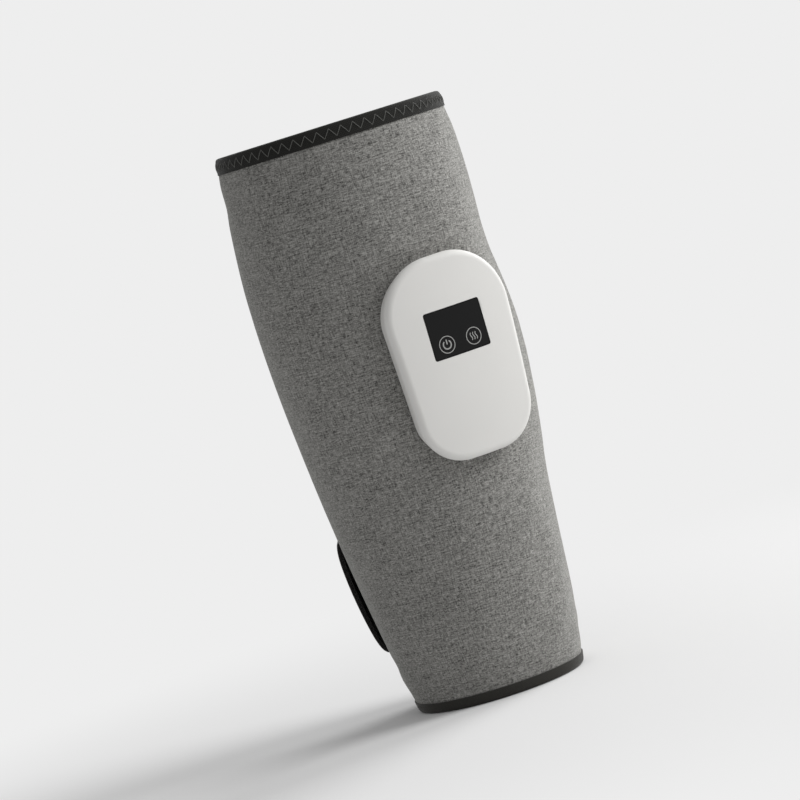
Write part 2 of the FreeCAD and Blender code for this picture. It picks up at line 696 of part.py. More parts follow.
def rear_case():
    """Rear shell behind the cover's fabric: a tray with a clamping flange, ribs and screw bosses."""
    outside = prism(pod_outline(TRAY_INSET), -REACH / 2, TRAY_RIM)
    inside = prism(pod_outline(TRAY_INSET + TRAY_WALL), -REACH / 2, TRAY_RIM)
    cavity = in_pod(inside).cut(wrap_core(TRAY_FLOOR))
    flange = in_pod(prism(pod_outline(FLANGE_INSET), -REACH / 2, TRAY_RIM))
    flange = flange.common(wrap_slab((BLADDER_DEPTH, BLADDER_DEPTH + FLANGE), (0, WRAP_HEIGHT),
                                      (POD_BEARING - 90, POD_BEARING + 90)))
    tray = in_pod(outside).cut(wrap_core(TRAY_BACK)).fuse(flange).cut(cavity)
    ribs = [prism(plate_outline(w, h, RIB_CORNER, y, x), -REACH / 4, top) for x, y, w, h, top in tray_ribs()]
    ribs += [post(x, y, -REACH / 4, BOSS_SPLIT - JOIN_GAP, BOSS_RADIUS) for x, y in screw_places()]
    for rib in ribs:
        tray = tray.fuse(in_pod(rib).cut(wrap_core(TRAY_FLOOR + TRAY_WALL / 2)))
    for x, y in screw_places():
        seat = screw_seat(x, y)
        tray = tray.cut(in_pod(post(x, y, -REACH / 4, 0, SCREW_RADIUS + SCREW_HOLE_GAP)))
        tray = tray.cut(in_pod(post(x, y, -REACH / 4, seat, SCREW_HEAD + SCREW_HOLE_GAP)))
    level, mouth = socket_place()
    half = CHARGE_BOARD_WIDTH / 2 + SOCKET_GAP
    notch = block(-half, half, -POD_LENGTH / 2, -POD_LENGTH / 2 + TRAY_INSET + 2 * TRAY_WALL,
                  SOCKET_UP - CHARGE_BOARD_THICK - JOIN_GAP, TRAY_RIM + SHELL)
    for hose in (lower_hose_way(), upper_hose_way()):
        tray = tray.cut(hose)
    return tray.cut(in_pod(notch)).removeSplitter()


def tray_ribs():
    """Ribs on the tray's floor as (x, y, width, length, top level): two for the battery, one for each valve."""
    battery = battery_levels()[0] - REST_GAP
    ribs = [(side * BATTERY_RIB_SPACING / 2, BOARD_UP, RIB, BATTERY_RIB_LENGTH, battery) for side in (-1, 1)]
    for x in valve_places():
        ribs.append((x, valve_ends()[0] + VALVE_LENGTH / 2, RIB, VALVE_RIB_LENGTH, valve_level(x) - REST_GAP))
    return ribs


def case_screws():
    """Four screws from the back of the rear case into the front cover's bosses."""
    screws = []
    for x, y in screw_places():
        seat = screw_seat(x, y)
        head = post(x, y, seat - SCREW_HEAD_HEIGHT, seat, SCREW_HEAD)
        shank = post(x, y, seat - SCREW_HEAD_HEIGHT / 2, BOSS_SPLIT, SCREW_RADIUS)
        tip = post(x, y, BOSS_SPLIT - JOIN_GAP, BOSS_SPLIT + SCREW_BITE, SCREW_PILOT - SHAFT_FIT)
        screws.append(head.fuse(shank).fuse(tip).removeSplitter())
    return in_pod(Part.makeCompound(screws))


# Window and keys

def display_lens():
    """Dark window in the face, with a hole for each key."""
    plate = prism(plate_outline(LENS_WIDTH, LENS_HEIGHT, LENS_CORNER, LENS_UP), 0, OVER_FACE)
    plate = plate.common(pod_dome(LENS_SUNK)).cut(pod_dome(LENS_SUNK + LENS_THICK))
    for side in (-1, 1):
        x, y = key_place(side)
        plate = plate.cut(post(x, y, 0, OVER_FACE, KEY_RADIUS + KEY_FIT))
    return in_pod(plate)


def key_place(side):
    """Middle of a key: -1 is the power key, 1 the heat key."""
    return side * KEY_SPACING / 2, LENS_UP - KEY_DOWN


def key(side):
    """A key: cap flush with the window, retaining rim behind it, and a stem towards its switch."""
    x, y = key_place(side)
    behind = LENS_SUNK + LENS_THICK + KEY_FIT
    cap = post(x, y, 0, OVER_FACE, KEY_RADIUS)
    cap = cap.common(pod_dome(LENS_SUNK - KEY_PROUD)).cut(pod_dome(behind))
    rim = post(x, y, 0, OVER_FACE, KEY_RADIUS + KEY_FLANGE)
    rim = rim.common(pod_dome(behind)).cut(pod_dome(behind + KEY_FLANGE_THICK))
    foot = board_front() + SWITCH_HEIGHT + KEY_TRAVEL + KEY_SPARE
    stem = post(x, y, foot, POD_FACE, KEY_STEM_RADIUS).common(pod_dome(behind + KEY_FLANGE_THICK / 2))
    return in_pod(cap.fuse(rim).fuse(stem).removeSplitter())


# Electronics

def control_board():
    """Printed board behind the window, with its screw holes."""
    board = prism(plate_outline(BOARD_WIDTH, BOARD_HEIGHT, BOARD_CORNER, BOARD_UP),
                  board_front() - BOARD_THICK, board_front())
    for x, y in board_posts():
        board = board.cut(post(x, y, 0, POD_FACE, BOARD_PILOT + BOARD_HOLE_GAP))
    return in_pod(board)


def board_screws():
    """Four screws that hold the board to its posts."""
    back = board_front() - BOARD_THICK - JOIN_GAP
    screws = []
    for x, y in board_posts():
        head = post(x, y, back - BOARD_SCREW_HEAD_HEIGHT, back, BOARD_SCREW_HEAD)
        shank = post(x, y, back - BOARD_SCREW_HEAD_HEIGHT / 2, board_front() + BOARD_SCREW_GRIP,
                     BOARD_PILOT - SHAFT_FIT)
        screws.append(head.fuse(shank).removeSplitter())
    return in_pod(Part.makeCompound(screws))


def display_module():
    """Figure display on the front of the board, behind the upper half of the window."""
    y = LENS_UP + LENS_HEIGHT / 2 - LEDGE - DISPLAY_HEIGHT / 2
    front = board_front() + JOIN_GAP
    outline = plate_outline(DISPLAY_WIDTH, DISPLAY_HEIGHT, DISPLAY_CORNER, y)
    return in_pod(prism(outline, front, front + DISPLAY_THICK))


def key_switches():
    """One dome switch on the board under each key."""
    half = SWITCH_SIDE / 2
    made = []
    for side in (-1, 1):
        x, y = key_place(side)
        base = block(x - half, x + half, y - half, y + half, board_front() + JOIN_GAP,
                     board_front() + SWITCH_HEIGHT / 2)
        button = post(x, y, board_front() + JOIN_GAP, board_front() + SWITCH_HEIGHT, KEY_STEM_RADIUS)
        made.append(base.fuse(button).removeSplitter())
    return in_pod(Part.makeCompound(made))


def board_chip():
    """Controller chip on the back of the board."""
    back = board_front() - BOARD_THICK - JOIN_GAP
    half = CHIP_SIDE / 2
    y = BOARD_UP - BOARD_HEIGHT / 2 + CHIP_SIDE
    return in_pod(block(-half, half, y - half, y + half, back - CHIP_HEIGHT, back))


def battery_levels():
    """Lower and upper level of the battery: it lies across the tray's floor."""
    low = pod_level(0, BOARD_UP, TRAY_FLOOR) + 2 * REST_GAP
    return low, low + BATTERY_THICK


def battery():
    """Flat lithium pouch cell on the tray's floor."""
    return in_pod(prism(plate_outline(BATTERY_WIDTH, BATTERY_HEIGHT, BATTERY_CORNER, BOARD_UP),
                        *battery_levels()))


def battery_pad():
    """Foam pad that wedges the battery against the board."""
    low = battery_levels()[1] + REST_GAP
    high = board_front() - BOARD_THICK - BOARD_SCREW_HEAD_HEIGHT - CHIP_HEIGHT
    outline = plate_outline(BATTERY_PAD_WIDTH, BATTERY_PAD_LENGTH, BATTERY_PAD_CORNER, BOARD_UP)
    return in_pod(prism(outline, low, high))


def charge_socket():
    """Charging socket: an oval metal shell, open at the mouth, round a flat tongue."""
    level, mouth = socket_place()
    round_end = (SOCKET_HEIGHT - SOCKET_FLAT) / 2
    body = prism(plate_outline(SOCKET_WIDTH, SOCKET_HEIGHT, round_end), 0, SOCKET_LENGTH)
    bore = prism(plate_outline(SOCKET_WIDTH - 2 * SOCKET_SKIN, SOCKET_HEIGHT - 2 * SOCKET_SKIN,
                               round_end - SOCKET_SKIN), SOCKET_BACK, SOCKET_LENGTH)
    half, thin = SOCKET_TONGUE_WIDTH / 2, SOCKET_TONGUE / 2
    tongue = block(-half, half, -thin, thin, SOCKET_BACK / 2, SOCKET_LENGTH - SOCKET_TONGUE_SUNK)
    socket = body.cut(bore).fuse(tongue).removeSplitter()
    socket.rotate(ORIGIN, V(1, 0, 0), 90)
    socket.translate(V(0, mouth + SOCKET_LENGTH, level))
    return in_pod(socket)


def charge_board():
    """Small board that carries the charging socket on the rear case's end wall."""
    high = SOCKET_UP - JOIN_GAP
    start = pod_foot(high - CHARGE_BOARD_THICK) + SHELL + SOCKET_GAP
    half = CHARGE_BOARD_WIDTH / 2
    return in_pod(block(-half, half, start, start + CHARGE_BOARD_LENGTH, high - CHARGE_BOARD_THICK, high))


# Pump

def pump_level():
    """Level of the pump's axis: the pump clears the tray's floor by a rib along its whole length."""
    return max(pod_level(PUMP_X, y, TRAY_FLOOR - PUMP_RADIUS - RIB) for y in (PUMP_FOOT, pump_stops()[-1]))


def pump_stops():
    """Places along the pod where the pump's pieces end: motor, housing, diaphragm, cover."""
    motor = PUMP_FOOT + MOTOR_LENGTH
    housing = motor + JOIN_GAP + HOUSING_LENGTH
    diaphragm = housing + DIAPHRAGM
    return motor, housing, diaphragm, diaphragm + PUMP_COVER


def pump_rod(y0, y1, radius):
    """A round bar on the pump's axis."""
    return rod(PUMP_X, pump_level(), y0, y1, radius)


def pump_motor():
    """Motor can with a stepped tail cap and the bore that the shaft runs in."""
    end = pump_stops()[0]
    can = pump_rod(PUMP_FOOT + MOTOR_CAP, end, PUMP_RADIUS)
    tail = pump_rod(PUMP_FOOT, PUMP_FOOT + MOTOR_CAP, MOTOR_CAP_RADIUS)
    return in_pod(can.fuse(tail).cut(pump_rod(end - SHAFT_DEPTH, end, SHAFT_RADIUS + SHAFT_FIT)))


def crank_level():
    """Where the crank disc starts along the pod."""
    return pump_stops()[0] + JOIN_GAP + HOUSING_WALL + PUMP_CLEAR


def pump_crank():
    """Motor shaft with the crank disc and its offset pin."""
    start = crank_level()
    shaft = pump_rod(pump_stops()[0] - SHAFT_DEPTH + PUMP_CLEAR, start + CRANK_THICK / 2, SHAFT_RADIUS)
    disc = pump_rod(start, start + CRANK_THICK, CRANK_RADIUS)
    pin = rod(PUMP_X + CRANK_THROW, pump_level(), start, wobble_level() + WOBBLE_THICK - PUMP_CLEAR, CRANK_PIN)
    return in_pod(shaft.fuse(disc).fuse(pin).removeSplitter())


def pump_housing():
    """Housing on the motor's nose, open towards the diaphragm."""
    motor, housing = pump_stops()[:2]
    tube = pump_rod(motor + JOIN_GAP, housing, PUMP_RADIUS)
    inside = pump_rod(motor + JOIN_GAP + HOUSING_WALL, housing, PUMP_RADIUS - HOUSING_WALL)
    return in_pod(tube.cut(inside).cut(pump_rod(motor, housing, NOSE_BORE)))


def wobble_level():
    """Where the wobble plate starts along the pod."""
    return crank_level() + CRANK_THICK + PUMP_CLEAR + CRANK_PIN


def wobble_plate():
    """Plate that the crank pin rocks, with a stem to each chamber of the diaphragm."""
    start = wobble_level()
    plate = pump_rod(start, start + WOBBLE_THICK, WOBBLE_RADIUS)
    plate = plate.cut(pump_rod(start, start + WOBBLE_THICK, CRANK_THROW + CRANK_PIN + PUMP_CLEAR))
    for turn in range(CHAMBERS):
        stem = rod(PUMP_X + WOBBLE_STEM_RADIUS, pump_level(), start, pump_stops()[1] - JOIN_GAP, WOBBLE_STEM)
        stem.rotate(V(PUMP_X, 0, pump_level()), V(0, 1, 0), 360 / CHAMBERS * (turn + 0.5))
        plate = plate.fuse(stem)
    return in_pod(plate.removeSplitter())


def diaphragm():
    """Rubber diaphragm clamped between the housing and the cover, with three shallow chambers."""
    housing, end = pump_stops()[1:3]
    sheet = pump_rod(housing + SHAFT_FIT, end - SHAFT_FIT, PUMP_RADIUS)
    for turn in range(CHAMBERS):
        cup = rod(PUMP_X + WOBBLE_STEM_RADIUS, pump_level(), end - CHAMBER_DEPTH, end, CHAMBER_RADIUS)
        cup.rotate(V(PUMP_X, 0, pump_level()), V(0, 1, 0), 360 / CHAMBERS * (turn + 0.5))
        sheet = sheet.cut(cup)
    return in_pod(sheet)


def pump_nozzle():
    """Place along the pod and reach across it of the pump's outlet."""
    start, end = pump_stops()[2:]
    face = PUMP_X + PUMP_RADIUS
    return (start + end) / 2, face, face + (MANIFOLD_X - face - HOSE_END_GAP) / 2


def pump_cover():
    """Cover over the diaphragm, with the outlet nozzle on its side."""
    y, face, tip = pump_nozzle()
    start, end = pump_stops()[2:]
    cover = pump_rod(start, end, PUMP_RADIUS)
    cover = cover.fuse(cross_rod(PUMP_X, tip, y, pump_level(), NOZZLE_RADIUS))
    return in_pod(cover.cut(cross_rod(PUMP_X, tip, y, pump_level(), NOZZLE_BORE)).removeSplitter())


def pump_cradle():
    """Rubber saddle under the motor, on the tray's floor."""
    y = PUMP_FOOT + MOTOR_CAP + (MOTOR_LENGTH - MOTOR_CAP - CRADLE_LENGTH) / 2
    half = CRADLE_WIDTH / 2
    saddle = block(PUMP_X - half, PUMP_X + half, y, y + CRADLE_LENGTH, -REACH / 4, pump_level() - RIB)
    saddle = saddle.cut(pump_rod(y, y + CRADLE_LENGTH, PUMP_RADIUS + JOIN_GAP))
    return in_pod(saddle).cut(wrap_core(TRAY_FLOOR - JOIN_GAP))


# Valves and hoses

def valve_places():
    """Middles of the lower and the upper bladder's valves across the pod."""
    left = MANIFOLD_X + VALVE_WIDTH / 2
    return left, MANIFOLD_X + MANIFOLD_WIDTH - VALVE_WIDTH / 2


def valve_ends():
    """Places along the pod where the valves start and end; they hang off the manifold's lower face."""
    end = pump_nozzle()[0] - MANIFOLD_LENGTH / 2 - JOIN_GAP
    return end - VALVE_LENGTH, end


def valve_level(x):
    """Underside of a valve: clear of the tray's floor at its inner edge."""
    return pod_level(x - VALVE_WIDTH / 2, valve_ends()[0], TRAY_FLOOR) + 2 * REST_GAP


def air_manifold():
    """Block that shares the pump's air between the two valves."""
    y = pump_nozzle()[0]
    level = pump_level()
    half, deep = MANIFOLD_LENGTH / 2, MANIFOLD_DEPTH / 2
    body = block(MANIFOLD_X, MANIFOLD_X + MANIFOLD_WIDTH, y - half, y + half, level - deep, level + deep)
    tip = pump_nozzle()[2] + HOSE_END_GAP
    body = body.fuse(cross_rod(tip, MANIFOLD_X + half, y, level, NOZZLE_RADIUS))
    gallery = cross_rod(tip, valve_places()[1] + VALVE_BORE, y, level, NOZZLE_BORE)
    for x in valve_places():
        gallery = gallery.fuse(rod(x, level, y - half, y, NOZZLE_BORE))
    return in_pod(body.cut(gallery).removeSplitter())


def valve_blank(x):
    """Body of a valve with its plunger bore."""
    start, end = valve_ends()
    low = valve_level(x)
    half = VALVE_WIDTH / 2
    high = max(low + VALVE_DEPTH, pump_level() + VALVE_BORE + VALVE_WALL)
    body = block(x - half, x + half, start, end, low, high)
    bore = PLUNGER_START + PLUNGER_LENGTH + PLUNGER_TRAVEL + VALVE_SPRING_ROOM
    return body.cut(rod(x, pump_level(), end - bore, end, VALVE_BORE))


def lower_hose_ends():
    """Ends of the lower hose's line, at the lower valve and the lower bladder, half way through the hollow."""
    x = valve_places()[0]
    depth = BLADDER_DEPTH + BLADDER / 2
    start = valve_ends()[0]
    edge = (BLADDER_SPLIT - BLADDER_LAND / 2 - POD_HEIGHT) / POD_UP.z
    edge -= pod_level(x, edge, depth) * POD_OUT.z / POD_UP.z
    return V(x, start, pod_level(x, start, depth)), V(x, edge, pod_level(x, edge, depth))


def lower_hose_length():
    """Length of the lower hose's line."""
    valve, bag = lower_hose_ends()
    return (bag - valve).Length


def lower_hose_bar(start, end, radius):
    """A round bar on the lower hose's line between two shares of its length, put where the pod is."""
    valve, bag = lower_hose_ends()
    way = (bag - valve) * (end - start)
    return in_pod(Part.makeCylinder(radius, way.Length, valve + (bag - valve) * start, way))


def lower_valve():
    """Valve of the lower bladder, its outlet pointing down the wrap."""
    reach = SPIGOT / lower_hose_length()
    outlet = lower_hose_bar(-reach / 2, reach, NOZZLE_RADIUS)
    bore = lower_hose_bar(-reach / 2, reach, NOZZLE_BORE)
    return in_pod(valve_blank(valve_places()[0])).fuse(outlet).cut(bore).removeSplitter()


def upper_hose_place():
    """Height, depth and far bearing of the upper bladder's hose."""
    x = valve_places()[1] + VALVE_WIDTH / 2
    y = valve_ends()[0] + VALVE_LENGTH / 2
    depth = BLADDER_DEPTH + BLADDER / 2
    height = POD_HEIGHT + y * POD_UP.z + pod_level(x, y, depth) * POD_OUT.z
    half = POD_FOOT_WIDTH / 2 + (POD_TOP_WIDTH - POD_FOOT_WIDTH) / 2 * (y / POD_LENGTH + 0.5)
    edge = POD_BEARING + math.degrees(math.asin((half + POD_WINDOW) / wrap_radius(height, depth - HOSE_RADIUS)))
    return height, depth, edge


def upper_valve_bearing():
    """Bearing of the upper valve's outer side at its outlet."""
    height, depth, edge = upper_hose_place()
    x = valve_places()[1] + VALVE_WIDTH / 2
    return POD_BEARING + math.degrees(math.asin(x / wrap_radius(height, depth)))


def upper_valve():
    """Valve of the upper bladder, its outlet pointing round the wrap."""
    height, depth, edge = upper_hose_place()
    side = upper_valve_bearing()
    reach = turn_of(SPIGOT, height, depth)
    outlet = wrap_tube(height, depth, NOZZLE_RADIUS, NOZZLE_BORE, (side - reach / 2, side + reach))
    return in_pod(valve_blank(valve_places()[1])).fuse(outlet).removeSplitter()


def valve_plunger(x):
    """Plunger that opens a valve, with a rubber-faced head."""
    end = valve_ends()[1] - PLUNGER_START
    start = end - PLUNGER_LENGTH
    neck = rod(x, pump_level(), start, end, PLUNGER_NECK)
    head = rod(x, pump_level(), end - PLUNGER_COLLAR, end, PLUNGER_RADIUS)
    tail = rod(x, pump_level(), start, start + PLUNGER_COLLAR, PLUNGER_RADIUS)
    return in_pod(neck.fuse(head).fuse(tail).removeSplitter())


def pump_hose():
    """Silicone hose from the pump's nozzle to the manifold."""
    y, face, tip = pump_nozzle()
    start, end = face + JOIN_GAP, MANIFOLD_X - JOIN_GAP
    hose = cross_rod(start, end, y, pump_level(), HOSE_RADIUS)
    return in_pod(hose.cut(cross_rod(start, end, y, pump_level(), NOZZLE_RADIUS + HOSE_FIT)))


def lower_hose():
    """Silicone hose from the lower valve to the lower bladder."""
    gap = HOSE_END_GAP / lower_hose_length()
    bore = lower_hose_bar(gap, 1 - gap, NOZZLE_RADIUS + HOSE_FIT)
    return lower_hose_bar(gap, 1 - gap, HOSE_RADIUS).cut(bore)


def lower_hose_way():
    """Clear way for the lower hose through the rear case."""
    return lower_hose_bar(0, 1, HOSE_RADIUS + HOSE_FIT)


def upper_hose():
    """Silicone hose from the upper valve to the upper bladder."""
    height, depth, edge = upper_hose_place()
    gap = turn_of(JOIN_GAP + HOSE_END_GAP, height, depth)
    return wrap_tube(height, depth, HOSE_RADIUS, NOZZLE_RADIUS + HOSE_FIT,
                     (upper_valve_bearing() + gap, edge - gap))


def upper_hose_way():
    """Clear way for the upper hose through the rear case."""
    height, depth, edge = upper_hose_place()
    return wrap_rod(height, depth, HOSE_RADIUS + HOSE_FIT, (upper_valve_bearing(), edge))


def pieces():
    """Every piece of the massager by name."""
    main, flap = panel_bearings()
    bound_main, bound_flap = bound_bearings()
    made = {
        "outer_cover": outer_cover(bound_main),
        "lining": panel_layer((LINING_DEPTH, WALL), bound_main),
        "top_binding": top_binding(main),
        "hem_binding": hem_binding(main),
        "closing_edge_binding": edge_binding(main[0], 1),
        "upper_air_bladder": upper_bladder(bound_main),
        "lower_air_bladder": lower_bladder(bound_main),
        "heating_film": heating_film(bound_main),
        "flap_cover": panel_layer((0, COVER), bound_flap),
        "flap_lining": panel_layer((LINING_DEPTH, WALL), bound_flap),
        "flap_padding": flap_padding(bound_flap),
        "flap_top_binding": top_binding(flap),
        "flap_hem_binding": hem_binding(flap),
        "flap_edge_binding": edge_binding(flap[1], -1),
    }
    for name, middle in (("upper", UPPER_STRAP_HEIGHT), ("lower", LOWER_STRAP_HEIGHT)):
        made[name + "_strap_root"] = strap_root(middle)
        made[name + "_strap"] = strap(middle)
        made[name + "_hook_pad"] = hook_pad(middle)
    made.update({
        "pod_front_cover": front_cover(),
        "pod_rear_case": rear_case(),
        "case_screws": case_screws(),
        "display_lens": display_lens(),
        "power_key": key(-1),
        "heat_key": key(1),
        "control_board": control_board(),
        "board_screws": board_screws(),
        "display_module": display_module(),
        "key_switches": key_switches(),
        "controller_chip": board_chip(),
        "battery": battery(),
        "battery_pad": battery_pad(),
        "charge_socket": charge_socket(),
        "charge_board": charge_board(),
        "pump_motor": pump_motor(),
        "pump_crank": pump_crank(),
        "pump_housing": pump_housing(),
        "wobble_plate": wobble_plate(),
        "pump_diaphragm": diaphragm(),
        "pump_cover": pump_cover(),
        "pump_cradle": pump_cradle(),
        "air_manifold": air_manifold(),
        "lower_valve": lower_valve(),
        "upper_valve": upper_valve(),
        "lower_valve_plunger": valve_plunger(valve_places()[0]),
        "upper_valve_plunger": valve_plunger(valve_places()[1]),
        "pump_hose": pump_hose(),
        "lower_hose": lower_hose(),
        "upper_hose": upper_hose(),
    })
    return made


def main():
    os.makedirs("parts", exist_ok=True)
    for name, shape in pieces().items():
        shape.exportStep(os.path.join("parts", name + ".step"))
        solids = shape.Solids
        print(name, "solids", len(solids), "valid", shape.isValid(), "volume", round(shape.Volume, 1))


if __name__ == "__main__":
    main()
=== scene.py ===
import json
import math
from functools import partial

import bpy
import numpy as np
from mathutils import Matrix, Vector


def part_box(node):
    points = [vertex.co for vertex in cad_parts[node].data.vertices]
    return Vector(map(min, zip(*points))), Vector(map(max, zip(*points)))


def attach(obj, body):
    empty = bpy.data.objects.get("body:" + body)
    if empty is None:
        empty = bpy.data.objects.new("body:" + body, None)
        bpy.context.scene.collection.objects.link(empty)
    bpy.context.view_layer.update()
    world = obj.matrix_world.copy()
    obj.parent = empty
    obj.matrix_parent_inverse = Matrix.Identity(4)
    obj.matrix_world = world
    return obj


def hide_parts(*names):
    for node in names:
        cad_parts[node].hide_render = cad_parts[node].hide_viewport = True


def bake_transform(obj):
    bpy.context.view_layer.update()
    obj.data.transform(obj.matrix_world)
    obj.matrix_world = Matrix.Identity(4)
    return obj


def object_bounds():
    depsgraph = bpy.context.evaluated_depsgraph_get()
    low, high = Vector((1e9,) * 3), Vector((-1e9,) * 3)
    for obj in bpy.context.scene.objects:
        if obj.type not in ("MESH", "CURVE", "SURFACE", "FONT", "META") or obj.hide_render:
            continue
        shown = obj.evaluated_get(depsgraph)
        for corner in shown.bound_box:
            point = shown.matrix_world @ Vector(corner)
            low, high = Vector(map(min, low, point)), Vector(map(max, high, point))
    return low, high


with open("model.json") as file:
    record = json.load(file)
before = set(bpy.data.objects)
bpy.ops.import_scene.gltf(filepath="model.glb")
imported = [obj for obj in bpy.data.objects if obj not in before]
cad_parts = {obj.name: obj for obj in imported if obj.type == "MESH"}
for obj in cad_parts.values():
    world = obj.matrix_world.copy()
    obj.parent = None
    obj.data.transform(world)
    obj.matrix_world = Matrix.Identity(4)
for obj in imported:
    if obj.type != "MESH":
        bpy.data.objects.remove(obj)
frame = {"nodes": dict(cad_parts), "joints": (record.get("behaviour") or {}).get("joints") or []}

bl_info = {
    "name": "Calf massager finish",
    "version": (1, 0, 0),
    "blender": (4, 5, 0),
    "location": "3D View > Sidebar > Massager",
    "description": "Dresses the packed calf massager in knit, tape, velvet, webbing and moulded finishes",
    "category": "Object",
}

MM = 0.001
CAD_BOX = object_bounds()
JOINTS = {joint["name"]: joint for joint in frame["joints"]}
NEAR_ZERO = 1e-9

# Bearings in degrees about the wrap's axis: the closing line, the pod, and where the soft ends sway to.
CLOSING_BEARING = 90
POD_BEARING = 270
SWAY_BEARING = 334

# Shares of the wrap's height over which its soft hem spreads and gathers and its soft top lies in.
HEM_REACH = 0.34
GATHER_REACH = 0.08
TOP_REACH = 0.26

# The neck below the top tape, the cheeks beside the pod, and the hollow above the right cheek.
NECK_HEIGHT = 290 * MM
NECK_REACH = 45 * MM
CHEEK_BEARING = 62
CHEEK_SPREAD = 24
CHEEK_DROP = 8 * MM
CHEEK_ABOVE = 36 * MM
CHEEK_BELOW = 52 * MM
HOLLOW_HEIGHT = 245 * MM
HOLLOW_REACH = 28 * MM

# The flap's fold: how far before it the pieces part, how many of their columns there are cut finer, and into
# how many parts.
FOLD_LEAD = 20
FOLD_COLUMNS = 16
FOLD_PARTS = 4

# Layers of the wall: their grid, how far they stop inside the tapes, and how unevenly they lie.
PANEL_STEP = 3 * MM
PANEL_BORDER = 1.6 * MM
KNIT_TUCK = 1.2 * MM
KNIT_DEPTH = 0.35 * MM
KNIT_RIPPLE = 0.2 * MM
KNIT_HELD = 1 * MM
LINING_TUCK = 1.4 * MM
LINING_RIPPLE = 0.25 * MM
LINING_TURN = 40

# Cloth simulation of the knit: its steps, its blowing up, its slack, and the rounds that even it out.
CLOTH_FRAMES = 20
CLOTH_QUALITY = 4
CLOTH_PRESSURE = 4.0
CLOTH_SHRINK = -0.012
EVEN_ROUNDS = 3

# Folded tapes: the power of their round, their points and steps, their lap, and their filled ends.
TAPE_POWER = 7.0
TAPE_POINTS = 41
TAPE_STEP = 0.5
TAPE_LAP = 0.3 * MM
TAPE_CREASE = 60
EDGE_SECTIONS = 90
FILL_LEAD = 1.3
FILL_RISE = 0.02

# Stitches: how far a stitch arches and sinks, in thread radii, and how it is laid out.
ZIGZAG_POINTS = 9
ZIGZAG_DROP = 0.3 * MM
ZIGZAG_ARCH = 1.3
ZIGZAG_SINK = 0.6
ZIGZAG_MARGIN = 1
BOX_POINTS = 5
BOX_STITCH = 3 * MM
BOX_INSET = 2.5 * MM
BOX_MARGIN = 3 * MM
BOX_GAP = 0.1
BOX_ARCH = 1.5
BOX_SINK = 0.7

# Straps: the share of the bow that each keeps, where bow and underside rise, the edges, and the grid.
STRAP_BOW = {"upper_strap_peel": 0.2, "lower_strap_peel": 1.0}
BOW_REACH = 12 * MM
SEAM_LEAD = 0.5 * MM
SEAM_REACH = 5 * MM
CORNER_SHARE = 0.999
EDGE_THICKNESS = 0.15
BAND_ACROSS = 2 * MM
BAND_ALONG = 1.6 * MM
ROUND_POINTS = 5

# Hook strips: their gap under the band, their grid, and the round, bent hooks inside their border.
HOOK_GAP = 0.1 * MM
HOOK_ROWS = 41
HOOK_COLUMNS = 33
HOOK_BORDER = 2 * MM
HOOK_MARGIN = 1.5 * MM
HOOK_RADIUS = 0.12 * MM
HOOK_SIDES = 4
HOOK_POINTS = 6
HOOK_BEND = 0.55 * MM
HOOK_TURN = 0.72 * math.pi

# Printed signs: points of each line, half of the power sign's gap in degrees, its bar, and blunt ends.
RING_POINTS = 144
ARC_POINTS = 64
WAVE_POINTS = 25
BAR_POINTS = 9
BAR_SHARE = 1.25
POWER_GAP = 35
BLUNT_END = 0.02

# Stage: each lamp's bearing, elevation, distance and width, the floor, and where it fades to the backdrop.
LAMPS = {"key": (322, 30, 2.6, 1.5), "rim": (12, 24, 2.6, 1.6)}
FLOOR_HALF = 6.0
FLOOR_LINES = 5
FLOOR_NEAR = 0.16
FLOOR_FAR = 0.6
SENSOR_WIDTH = 36
CLIP_END = 100


def linear(hex_colour):
    """sRGB hex to linear light: the low end over 12.92, the rest the 2.4 power of its shifted curve."""
    channels = np.array([int(hex_colour[start:start + 2], 16) for start in (1, 3, 5)]) / 255
    curve = ((channels + 0.055) / 1.055) ** 2.4
    return tuple(np.where(channels <= 0.04045, channels / 12.92, curve).tolist())


def length(name, description, millimetres):
    """A length property, given in millimetres and kept in metres."""
    return bpy.props.FloatProperty(name=name, description=description, default=millimetres * MM,
                                   unit="LENGTH", precision=5)


def angle(name, description, degrees):
    """An angle property, given in degrees and kept in radians."""
    return bpy.props.FloatProperty(name=name, description=description, default=math.radians(degrees),
                                   subtype="ANGLE")


def paint(name, description, hex_colour):
    """A colour property, given as sRGB hex and kept linear."""
    return bpy.props.FloatVectorProperty(name=name, description=description, default=linear(hex_colour),
                                         subtype="COLOR", size=3, min=0, max=1)


def bearing_of(place):
    """Bearing in degrees of a point about the wrap's axis."""
    return math.degrees(math.atan2(place[1], place[0]))


